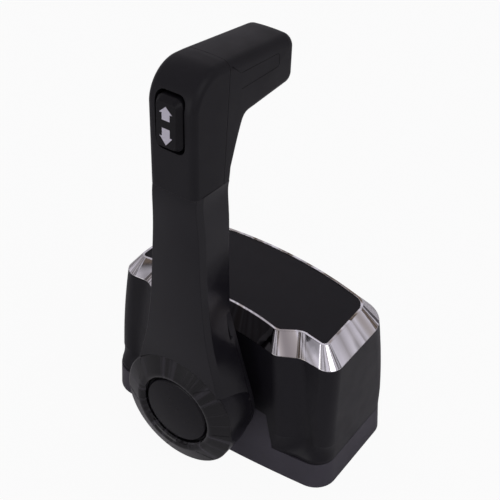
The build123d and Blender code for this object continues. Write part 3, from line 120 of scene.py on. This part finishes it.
def spread(nodes, links, factor, low, high):
    """Maps a pattern onto a range of numbers."""
    node = nodes.new("ShaderNodeMapRange")
    node.inputs["From Min"].default_value = PATTERN_RANGE[0]
    node.inputs["From Max"].default_value = PATTERN_RANGE[1]
    node.inputs["To Min"].default_value = low
    node.inputs["To Max"].default_value = high
    links.new(factor, node.inputs["Value"])
    return node.outputs["Result"]


def edge_normal(nodes, links, shader, radius, height, strength, distance):
    """Softens sharp edges in the shading, and adds a fine relief from a pattern."""
    bevel = nodes.new("ShaderNodeBevel")
    bevel.samples = BEVEL_SAMPLES
    bevel.inputs["Radius"].default_value = radius
    bump = nodes.new("ShaderNodeBump")
    bump.inputs["Strength"].default_value = strength
    bump.inputs["Distance"].default_value = distance
    links.new(height, bump.inputs["Height"])
    links.new(bevel.outputs["Normal"], bump.inputs["Normal"])
    links.new(bump.outputs["Normal"], shader.inputs["Normal"])


def moulded(name, colour, rough, grain=2600.0, relief=0.25, vary=0.12, edge=0.0004, specular=0.32):
    """Moulded plastic or rubber: slight cloudiness in its colour, uneven gloss and a fine grain."""
    material, nodes, links, shader, where = start_material(name)
    cloud = noise(nodes, links, where, 38.0, 4.0)
    darker = tuple(c * (1.0 - vary) for c in colour)
    lighter = tuple(c * (1.0 + vary) for c in colour)
    links.new(ramp(nodes, links, cloud, darker, lighter), shader.inputs["Base Color"])
    links.new(spread(nodes, links, noise(nodes, links, where, 90.0, 5.0), rough - 0.03, rough + 0.03),
              shader.inputs["Roughness"])
    shader.inputs["Specular IOR Level"].default_value = specular
    edge_normal(nodes, links, shader, edge, noise(nodes, links, where, grain, 2.0), relief, 0.00005)
    return material


def lacquer(name, colour, rough=0.16, edge=0.0006, specular=0.5):
    """Gloss coat over a casting: nearly even, with a faint orange-peel and fine handling marks."""
    material, nodes, links, shader, where = start_material(name)
    links.new(ramp(nodes, links, noise(nodes, links, where, 24.0, 3.0), tuple(c * 0.85 for c in colour),
                   tuple(c * 1.15 for c in colour)), shader.inputs["Base Color"])
    links.new(spread(nodes, links, noise(nodes, links, where, 140.0, 6.0), rough - 0.03, rough + 0.04),
              shader.inputs["Roughness"])
    shader.inputs["Specular IOR Level"].default_value = specular
    edge_normal(nodes, links, shader, edge, noise(nodes, links, where, 420.0, 2.0), 0.03, 0.00005)
    return material


def metal(name, colour, rough, streak, relief=0.02, edge=0.0003):
    """Bare metal: a tint that drifts a little, with brushing along the axes that are stretched least."""
    material, nodes, links, shader, where = start_material(name)
    shader.inputs["Metallic"].default_value = 1.0
    links.new(ramp(nodes, links, noise(nodes, links, where, 30.0, 3.0), tuple(c * 0.94 for c in colour),
                   colour), shader.inputs["Base Color"])
    lines = noise(nodes, links, where, 900.0, 3.0, streak)
    links.new(spread(nodes, links, lines, rough * 0.8, rough * 1.25), shader.inputs["Roughness"])
    edge_normal(nodes, links, shader, edge, lines, relief, 0.00003)
    return material


def round_axis(nodes, links, across, along, centre=0.0):
    """The angle round an axis, from two coordinates, in radians."""
    shifted = nodes.new("ShaderNodeMath")
    shifted.operation = "SUBTRACT"
    shifted.inputs[1].default_value = centre
    links.new(along, shifted.inputs[0])
    angle = nodes.new("ShaderNodeMath")
    angle.operation = "ARCTAN2"
    links.new(across, angle.inputs[0])
    links.new(shifted.outputs[0], angle.inputs[1])
    return angle.outputs[0]


def streaks_of(nodes, links, angle, scale, detail):
    """Streaks that fan out from an axis: a pattern of the angle alone."""
    streaks = nodes.new("ShaderNodeTexNoise")
    streaks.noise_dimensions = "1D"
    streaks.inputs["Scale"].default_value = scale
    streaks.inputs["Detail"].default_value = detail
    links.new(angle, streaks.inputs["W"])
    return streaks.outputs["Fac"]


def tones_of(nodes, links, factor, stops):
    """Spreads a pattern over several colours, given as (place, colour)."""
    node = nodes.new("ShaderNodeValToRGB")
    for place, colour in stops[1:-1]:
        node.color_ramp.elements.new(place)
    for stop, (place, colour) in zip(node.color_ramp.elements, stops):
        stop.position = place
        stop.color = (*colour, 1.0)
    links.new(factor, node.inputs["Fac"])
    return node.outputs["Color"]


# painted reflections: bright and dark bands for the chrome's base colour, placed by angle round the upright
# axis
CHROME_PAINTED_REFLECTIONS = [(0.34, (0.36, 0.33, 0.32)), (0.41, (0.58, 0.54, 0.51)), (0.455, (0.82, 0.80, 0.83)),
                (0.505, (0.50, 0.48, 0.48)), (0.55, (0.76, 0.74, 0.77)), (0.64, (0.84, 0.82, 0.85))]


def chrome(name, rough):
    """Smoked plating: mirror gloss, with painted reflections: bright and dark bands in the base colour, laid
    round the upright axis.
    """
    material, nodes, links, shader, where = start_material(name)
    shader.inputs["Metallic"].default_value = 1.0
    place = nodes.new("ShaderNodeSeparateXYZ")
    links.new(where, place.inputs["Vector"])
    angle = round_axis(nodes, links, place.outputs["X"], place.outputs["Y"])
    streaks = streaks_of(nodes, links, angle, 3.4, 0.4)
    # the painted reflections go into the base colour here
    links.new(tones_of(nodes, links, streaks, CHROME_PAINTED_REFLECTIONS), shader.inputs["Base Color"])
    links.new(spread(nodes, links, noise(nodes, links, where, 160.0, 4.0), rough * 0.8, rough * 1.3),
              shader.inputs["Roughness"])
    edge_normal(nodes, links, shader, 0.0004, streaks, 0.6, 0.0016)
    return material


def lacquer_with_painted_reflections(name, colour, rough):
    """Gloss black over a turned slope, with painted reflections: fine bright and dark bands in the base
    colour that fan out from the hub's axis; the same bands vary the gloss and the relief.
    """
    material, nodes, links, shader, where = start_material(name)
    place = nodes.new("ShaderNodeSeparateXYZ")
    links.new(where, place.inputs["Vector"])
    angle = round_axis(nodes, links, place.outputs["Y"], place.outputs["Z"], AXIS_HEIGHT * MM)
    streaks = streaks_of(nodes, links, angle, 5.5, 2.5)
    # painted reflections: the bands take the base colour from about half to three times the lacquer's own
    links.new(ramp(nodes, links, streaks, tuple(c * 0.55 for c in colour),
                   tuple(c * 3.0 for c in colour), (0.50, 0.70)), shader.inputs["Base Color"])
    links.new(spread(nodes, links, streaks, rough, rough * 1.6), shader.inputs["Roughness"])
    shader.inputs["Specular IOR Level"].default_value = 0.36
    edge_normal(nodes, links, shader, 0.0004, streaks, 0.06, 0.0006)
    return material


MATERIALS = {
    "base_grey": moulded("base_grey", (0.0560, 0.0520, 0.0660), 0.45, grain=2200.0, relief=0.2),
    "body_black": moulded("body_black", (0.0092, 0.0085, 0.0116), 0.42, grain=2400.0, relief=0.12,
                          specular=0.24),
    "bright_metal": chrome("bright_metal", 0.06),
    "lever_black": lacquer("lever_black", (0.0080, 0.0074, 0.0102), 0.20, specular=0.30),
    "button_black": lacquer("button_black", (0.0080, 0.0075, 0.0096), rough=0.24, specular=0.20),
    "grip_black": moulded("grip_black", (0.0098, 0.0092, 0.0118), 0.46, grain=3000.0, relief=0.15,
                          specular=0.22),
    "inlay_rubber": moulded("inlay_rubber", (0.0105, 0.0100, 0.0120), 0.50, grain=1500.0, relief=0.5),
    "rocker_black": moulded("rocker_black", (0.0075, 0.0070, 0.0088), 0.42, grain=2600.0, relief=0.15,
                            specular=0.18),
    "rubber_black": moulded("rubber_black", (0.009, 0.009, 0.010), 0.65, grain=1800.0, relief=0.5),
    "steel": metal("steel", (0.56, 0.56, 0.57), 0.28, streak=(1.0, 6.0, 6.0)),
    "zinc_steel": metal("zinc_steel", (0.52, 0.52, 0.50), 0.36, streak=(1.0, 1.0, 12.0), relief=0.05),
    "spring_steel": metal("spring_steel", (0.34, 0.33, 0.33), 0.30, streak=(4.0, 1.0, 4.0)),
    "bush_plastic": moulded("bush_plastic", (0.70, 0.67, 0.60), 0.40, vary=0.05, specular=0.5),
    "friction_rubber": moulded("friction_rubber", (0.045, 0.035, 0.030), 0.75, grain=1200.0, relief=0.7),
    "gear_plastic": moulded("gear_plastic", (0.68, 0.66, 0.60), 0.38, vary=0.05, specular=0.5),
    "sensor_plastic": moulded("sensor_plastic", (0.020, 0.020, 0.022), 0.42, relief=0.4),
    "board_green": moulded("board_green", (0.020, 0.110, 0.045), 0.30, grain=900.0, relief=0.3, vary=0.15,
                           specular=0.5),
}
for part in frame["record"]["subparts"]:
    node = frame["nodes"][part["node"]]
    for entry in node.material_slots:
        entry.material = MATERIALS[part["material_slot"]]

# the hub ring's gloss black, with painted reflections fanning out in its base colour
RING_LACQUER_WITH_PAINTED_REFLECTIONS = lacquer_with_painted_reflections("ring_lacquer_painted_reflections", (0.0105, 0.0098, 0.0120), 0.07)
frame["nodes"]["hub_ring"].material_slots[0].material = RING_LACQUER_WITH_PAINTED_REFLECTIONS
INK = moulded("pale_ink", PALE, 0.45, grain=1400.0, relief=0.15, vary=0.04, edge=0.00005)


# ---------------------------------------------------------------- small pieces
SHARP_ANGLE = 32.0


def prism(outline, front_x, back_x):
    """Points and faces of a flat outline of (y, z) pairs, carried from one x to another."""
    count = len(outline)
    points = [(front_x, y, z) for y, z in outline] + [(back_x, y, z) for y, z in outline]
    faces = [tuple(range(count)), tuple(reversed(range(count, 2 * count)))]
    faces += [(i, count + i, count + (i + 1) % count, (i + 1) % count) for i in range(count)]
    return points, faces


def merged_shape(piece, cutter):
    """Applies a piece's modifiers, then drops its cutter."""
    evaluated = piece.evaluated_get(bpy.context.evaluated_depsgraph_get())
    mesh = bpy.data.meshes.new_from_object(evaluated)
    piece.modifiers.clear()
    piece.data = mesh
    bpy.data.objects.remove(cutter, do_unlink=True)


def plain_object(name, points, faces):
    """An object from points in millimetres, not yet on any body."""
    mesh = bpy.data.meshes.new(name)
    mesh.from_pydata([tuple(c * MM for c in p) for p in points], [], faces)
    mesh.validate()
    mesh.update()
    piece = bpy.data.objects.new(name, mesh)
    bpy.context.scene.collection.objects.link(piece)
    return piece


def face_outwards(mesh):
    """Turns every face of a closed mesh to look outwards."""
    shape = bmesh.new()
    shape.from_mesh(mesh)
    bmesh.ops.recalc_face_normals(shape, faces=shape.faces)
    shape.to_mesh(mesh)
    shape.free()


def smooth(piece):
    """Smooth shading, kept sharp where the surface turns by more than the angle."""
    for face in piece.data.polygons:
        face.use_smooth = True
    piece.data.set_sharp_from_angle(angle=math.radians(SHARP_ANGLE))


# ---------------------------------------------------------------- head and grip
SEAM_Z = 196.5      # where the head meets the arm
HALF = 13.6         # half the width of head and grip
# the lever top from the side, from the foot of its front over the top to the foot of its back:
# x, z, radius of the corner, radius of the edge that runs along it
SIDE_VIEW = [(-75.4, 196.5, 0.0, 3.6), (-77.3, 259.1, 18.0, 4.0), (-53.0, 258.6, 26.0, 4.4),
             (3.2, 253.3, 7.0, 5.4), (3.2, 227.3, 6.0, 5.0), (-36.5, 225.7, 4.0, 4.0),
             (-47.6, 203.5, 8.0, 2.2), (-49.7, 196.5, 0.0, 0.9)]
TOP_CROWN = 0.9     # how much the top drops from its middle to its sides
FLARE, FLARE_TOP, FLARE_REACH = 0.075, 222.0, 25.0   # share, highest z, and depth over which it comes in
SEAM_PLANE = (-52.4, 228.0, 0.06)   # x, z and slope of the joint between head and grip
SEAM_GAP = 0.12         # how far each skin stays back from that plane
LINER_DEPTH = 0.5       # how far the core lies under the skins
LINER_REACH = 1.5       # how far it goes into each of them
ROCKER_Z = 234.0
RECESS = (16.6, 29.6, 4.2, -63.5)   # width, height, corner radius and floor
RECESS_FRONT = -90.0
RUN_STEP, ARC_STEP = 3.0, 1.1       # longest step along a straight run and round a corner
EDGE_STEPS, BOX_STEPS = 9, 8        # steps round a quarter of an edge, and of the recess's corner
FLATS = (-0.6, -0.2, 0.2, 0.6)      # points across the flat, as shares of its half width
MERGE = 1e-7


def rounded_line(corners):
    """Points along a line of straight runs with rounded corners, each with its edge radius."""
    points = []
    for number, (x, z, radius, edge) in enumerate(corners):
        here = Vector((x, z))
        if radius == 0.0:
            points.append((here, edge))
            continue
        before = (Vector(corners[number - 1][:2]) - here).normalized()
        after = (Vector(corners[number + 1][:2]) - here).normalized()
        half_angle = before.angle(after) / 2
        reach = radius / math.tan(half_angle)
        centre = here + (before + after).normalized() * (radius / math.sin(half_angle))
        first, last = here + before * reach - centre, here + after * reach - centre
        turn = first.angle_signed(last)
        count = max(3, int(abs(turn) * radius / ARC_STEP))
        for part in range(count + 1):
            spoke = first.copy()
            spoke.rotate(Matrix.Rotation(-turn * part / count, 2))
            points.append((centre + spoke, edge))
    full = [points[0]]
    for (a, ea), (b, eb) in zip(points, points[1:]):
        pieces = max(1, int((b - a).length / RUN_STEP))
        full += [(a.lerp(b, i / pieces), ea + (eb - ea) * i / pieces) for i in range(1, pieces + 1)]
    return full


def flare(x, z):
    """How much wider the skin gets at its foot, where its back meets the wider back of the arm."""
    down = min(1.0, max(0.0, (FLARE_TOP - z) / (FLARE_TOP - SEAM_Z)))
    back = min(1.0, max(0.0, (x - SIDE_VIEW[0][0]) / FLARE_REACH))
    return 1.0 + FLARE * back * down * down * (3 - 2 * down)


def lever_top():
    """The closed skin of head and grip: the side view, carried across with rounded edges."""
    line = rounded_line(SIDE_VIEW)
    outward = []
    for i in range(len(line)):
        run = line[min(i + 1, len(line) - 1)][0] - line[max(i - 1, 0)][0]
        outward.append(Vector((-run.y, run.x)).normalized())
    outward[0], outward[-1] = Vector((-1, 0)), Vector((1, 0))
    points = []
    angles = [math.pi / 2 * k / EDGE_STEPS for k in range(EDGE_STEPS + 1)]
    columns = 2 * len(angles) + len(FLATS)
    for (where, edge), out in zip(line, outward):
        crown = TOP_CROWN * max(0.0, out.y)
        row = [(-(HALF - edge) - edge * math.cos(a), edge * (1 - math.sin(a))) for a in angles]
        row += [(f * (HALF - edge), 0.0) for f in FLATS]
        row += [(-y, inset) for y, inset in reversed(row[:len(angles)])]
        for y, inset in row:
            at = where - out * (inset + crown * (y / HALF) ** 2)
            points.append((at.x, y * flare(at.x, at.y), at.y))
    rows = len(line)
    faces = [(i * columns + j, i * columns + j + 1, (i + 1) * columns + j + 1, (i + 1) * columns + j)
             for i in range(rows - 1) for j in range(columns - 1)]
    last = (rows - 1) * columns
    faces += [(j, last + j, last + j + 1, j + 1) for j in range(columns - 1)]
    faces.append(tuple(i * columns for i in range(rows)))
    faces.append(tuple(i * columns + columns - 1 for i in reversed(range(rows))))
    return points, faces


def rounded_box_outline(width, height, radius, centre_z):
    """(y, z) pairs round a rounded rectangle."""
    outline = []
    for corner, (sy, sz) in enumerate([(1, 1), (-1, 1), (-1, -1), (1, -1)]):
        for k in range(BOX_STEPS + 1):
            angle = math.pi / 2 * (corner + k / BOX_STEPS)
            outline.append((sy * (width / 2 - radius) + radius * math.cos(angle),
                            centre_z + sz * (height / 2 - radius) + radius * math.sin(angle)))
    return outline


def part_of_top(name, cuts, depth=0.0):
    """The skin, sunk by a depth and cut at planes beside the joint: x from the joint, side cleared."""
    points, faces = lever_top()
    piece = plain_object(name, points, faces)
    shape = bmesh.new()
    shape.from_mesh(piece.data)
    bmesh.ops.recalc_face_normals(shape, faces=shape.faces)
    if depth:
        shape.normal_update()
        for vertex in shape.verts:
            vertex.co -= vertex.normal * depth * MM
    x, z, slope = SEAM_PLANE
    for offset, cleared in cuts:
        geometry = shape.verts[:] + shape.edges[:] + shape.faces[:]
        cut = bmesh.ops.bisect_plane(shape, geom=geometry, dist=MERGE, clear_outer=True,
                                     plane_co=Vector(((x + offset) * MM, 0, z * MM)),
                                     plane_no=Vector((1.0, 0.0, -slope)).normalized() * cleared)
        rim = [e for e in cut["geom_cut"] if isinstance(e, bmesh.types.BMEdge)]
        bmesh.ops.edgeloop_fill(shape, edges=rim)
    bmesh.ops.recalc_face_normals(shape, faces=shape.faces)
    shape.to_mesh(piece.data)
    shape.free()
    return piece


def make_head():
    """The head with the recess that the rocker sits in."""
    head = part_of_top("head_skin", [(-SEAM_GAP, 1.0)])
    width, height, radius, floor_x = RECESS
    points, faces = prism(rounded_box_outline(width, height, radius, ROCKER_Z), RECESS_FRONT, floor_x)
    cutter = plain_object("recess_cutter", points, faces)
    face_outwards(cutter.data)
    cut = head.modifiers.new("recess", "BOOLEAN")
    cut.operation = "DIFFERENCE"
    cut.solver = "EXACT"
    cut.object = cutter
    merged_shape(head, cutter)
    return head


def dress(piece, body, slot, *nodes):
    """Gives a skin its finish and its body, and hides the nodes that it stands for."""
    smooth(piece)
    piece.data.materials.clear()
    piece.data.materials.append(MATERIALS[slot])
    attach(piece, body)
    if nodes:
        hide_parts(*nodes)


dress(make_head(), "lever", "grip_black", "head_shell")
# the core that head and grip meet on, just under the surface, so that nothing shows through their joint
dress(part_of_top("seam_liner", [(-LINER_REACH, -1.0), (LINER_REACH, 1.0)], LINER_DEPTH),
      "lever", "grip_black")
dress(part_of_top("grip_skin", [(SEAM_GAP, -1.0)]), "lever", "grip_black", "grip")

LINE = moulded("joint_shadow", (0.0022, 0.0021, 0.0026), 0.6, grain=1400.0, relief=0.1, specular=0.1)


def fine_line(name, points, radius, body):
    """A fine line: a dark hair that is nearly flush with the surface. Along the grip's sides it is painted
    shade, standing in for the shade of a narrow groove.
    """
    curve = bpy.data.curves.new(name, "CURVE")
    curve.dimensions = "3D"
    curve.bevel_depth = radius * MM
    curve.bevel_resolution = 1
    spline = curve.splines.new("POLY")
    spline.points.add(len(points) - 1)
    for target, point in zip(spline.points, points):
        target.co = (*(c * MM for c in point), 1.0)
    line = bpy.data.objects.new(name, curve)
    bpy.context.scene.collection.objects.link(line)
    mesh = bpy.data.meshes.new_from_object(line.evaluated_get(bpy.context.evaluated_depsgraph_get()))
    bpy.data.objects.remove(line, do_unlink=True)
    piece = bpy.data.objects.new(name, mesh)
    bpy.context.scene.collection.objects.link(piece)
    mesh.materials.clear()
    mesh.materials.append(LINE)
    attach(piece, body)


LINE_SINK, PANEL_LINE = 0.06, 0.14   # how far a panel line is let into the side, and its radius
# x, z, corner radius, and an edge radius that a line doesn't use
PANEL = [(-49.0, 255.0, 0.0, 0), (-42.3, 249.4, 3.0, 0), (-11.4, 247.8, 2.0, 0), (-10.8, 240.9, 2.0, 0),
         (-44.2, 241.1, 2.0, 0), (-49.6, 237.6, 0.0, 0)]
# painted shade: dark hairs along both sides of the grip, where the shade of a panel groove would fall
for label, side in (("near", -1.0), ("far", 1.0)):
    path = [(p.x, side * (HALF - LINE_SINK), p.y) for p, _ in rounded_line(PANEL)]
    fine_line("panel_line_" + label, path, PANEL_LINE, "lever")


# ---------------------------------------------------------------- rocker arrows
ROCKER_FACE_X = -79.2
ARROW_HALF, STEM_HALF = 3.6, 2.2
INK_PROUD, INK_DEEP = 0.06, 0.1   # how far the ink stands out of the face and goes into it


def arrow(name, tip_z, wing_z, foot_z):
    """One of the two printed arrows on the rocker."""
    outline = [(0, tip_z), (ARROW_HALF, wing_z), (STEM_HALF, wing_z), (STEM_HALF, foot_z),
               (-STEM_HALF, foot_z), (-STEM_HALF, wing_z), (-ARROW_HALF, wing_z)]
    points, faces = prism(outline, ROCKER_FACE_X - INK_PROUD, ROCKER_FACE_X + INK_DEEP)
    piece = plain_object(name, points, faces)
    piece.data.materials.append(INK)
    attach(piece, "rocker")


arrow("arrow_up", 243.3, 239.9, 236.4)
arrow("arrow_down", 223.9, 228.2, 232.3)


# ---------------------------------------------------------------- hub
TURN_STEPS = 160


def turned(name, profile, body, slot, material):
    """A piece turned about the hub's axis from (x, radius) pairs of a closed outline."""
    count = TURN_STEPS
    points = [(x, r * math.sin(2 * math.pi * k / count), AXIS_HEIGHT + r * math.cos(2 * math.pi * k / count))
              for k in range(count) for x, r in profile]
    step = len(profile)
    faces = [(k * step + i, k * step + (i + 1) % step, ((k + 1) % count) * step + (i + 1) % step,
              ((k + 1) % count) * step + i) for k in range(count) for i in range(step)]
    piece = plain_object(name, points, faces)
    face_outwards(piece.data)
    dress(piece, body, slot)
    piece.data.materials[0] = material


# a lip of soft rubber closes the gap round the cap, behind its edge
turned("mouth_lip", [(-70.8, 20.75), (-70.8, 21.65), (-69.6, 21.65), (-69.6, 20.75)], "lever", "lever_black",
       MATERIALS["rubber_black"])

# fine facet lines across the ring's slope: angles of both ends from straight up towards the far end
BEVEL = ((-74.6, 26.6), (-71.1, 35.2))   # x and radius, inside and outside
FACETS = (("a", 268, 271), ("b", 216, 226), ("c", 66, 48), ("d", 103, 96), ("e", 172, 166), ("f", 330, 322))
FACET_SINK, FACET_LINE, FACET_STEPS = 0.06, 0.17, 6
for label, first, last in FACETS:
    ends = []
    for (x, radius), degrees in zip(BEVEL, (first, last)):
        angle = math.radians(degrees)
        ends.append(Vector((x, radius * math.sin(angle), AXIS_HEIGHT + radius * math.cos(angle))))
    path = [ends[0].lerp(ends[1], k / FACET_STEPS) + Vector((FACET_SINK, 0, 0))
            for k in range(FACET_STEPS + 1)]
    fine_line("ring_line_" + label, path, FACET_LINE, "lever")


# ---------------------------------------------------------------- stage and light
WALL_TONES = [(0.40, (0.90, 0.87, 0.96)), (0.44, (0.26, 0.20, 0.15)), (0.48, (0.045, 0.040, 0.046)),
              (0.52, (0.40, 0.39, 0.42)), (0.56, (0.95, 0.92, 1.00)), (0.68, (0.45, 0.43, 0.47))]
WALL_SCALE, WALL_STRETCH, WALL_LIGHT = 4.6, (1.0, 1.0, 0.2), 0.75
FLOOR_SIZE, FLOOR_Z, FLOOR_GREY = 6.0, -0.0004, (0.80, 0.80, 0.80, 1.0)
FLOOR_GLOW = 0.94   # the share of the floor that is plain white to the camera; the rest takes the shadow
WHITE = (1.0, 1.0, 1.0, 1.0)


def make_stage():
    """A floor and surroundings that are white to the camera only; gloss and metal mirror tinted walls."""
    bpy.ops.mesh.primitive_plane_add(size=FLOOR_SIZE, location=(0, 0, FLOOR_Z))
    floor = bpy.context.object
    floor.name = "floor"
    material = bpy.data.materials.new("floor_white")
    material.use_nodes = True
    nodes, links = material.node_tree.nodes, material.node_tree.links
    nodes.clear()
    output = nodes.new("ShaderNodeOutputMaterial")
    diffuse = nodes.new("ShaderNodeBsdfDiffuse")
    diffuse.inputs["Color"].default_value = FLOOR_GREY
    glow = nodes.new("ShaderNodeEmission")
    glow.inputs["Color"].default_value = WHITE
    glow.inputs["Strength"].default_value = 1.0
    mix = nodes.new("ShaderNodeMixShader")
    path = nodes.new("ShaderNodeLightPath")
    share = nodes.new("ShaderNodeMath")
    share.operation = "MULTIPLY"
    share.inputs[1].default_value = FLOOR_GLOW
    links.new(path.outputs["Is Camera Ray"], share.inputs[0])
    links.new(share.outputs[0], mix.inputs["Fac"])
    links.new(diffuse.outputs[0], mix.inputs[1])
    links.new(glow.outputs[0], mix.inputs[2])
    links.new(mix.outputs[0], output.inputs["Surface"])
    floor.data.materials.append(material)

    world = bpy.data.worlds.new("studio")
    bpy.context.scene.world = world
    world.use_nodes = True
    nodes, links = world.node_tree.nodes, world.node_tree.links
    nodes.clear()
    output = nodes.new("ShaderNodeOutputWorld")
    # the walls of a studio: pale panels with darker gaps between them
    walls = noise(nodes, links, nodes.new("ShaderNodeTexCoord").outputs["Generated"], WALL_SCALE, 1.0,
                  WALL_STRETCH)
    soft = nodes.new("ShaderNodeBackground")
    links.new(tones_of(nodes, links, walls, WALL_TONES), soft.inputs["Color"])
    soft.inputs["Strength"].default_value = WALL_LIGHT
    white = nodes.new("ShaderNodeBackground")
    white.inputs["Color"].default_value = WHITE
    white.inputs["Strength"].default_value = 1.0
    mix = nodes.new("ShaderNodeMixShader")
    path = nodes.new("ShaderNodeLightPath")
    links.new(path.outputs["Is Camera Ray"], mix.inputs["Fac"])
    links.new(soft.outputs[0], mix.inputs[1])
    links.new(white.outputs[0], mix.inputs[2])
    links.new(mix.outputs[0], output.inputs["Surface"])


def lamp(name, place, aim, size, power):
    """A square soft lamp."""
    data = bpy.data.lights.new(name, "AREA")
    data.shape = "SQUARE"
    data.size = size
    data.energy = power
    light = bpy.data.objects.new(name, data)
    bpy.context.scene.collection.objects.link(light)
    light.location = place
    light.rotation_euler = (Vector(aim) - Vector(place)).to_track_quat("-Z", "Y").to_euler()


make_stage()
lamp("key", (-0.35, -1.3, 1.15), (0, 0, 0.14), 0.9, 3.5)
lamp("fill", (-1.3, 0.2, 0.25), (0, 0, 0.06), 0.8, 2.5)
bpy.context.scene.view_settings.view_transform = "Standard"
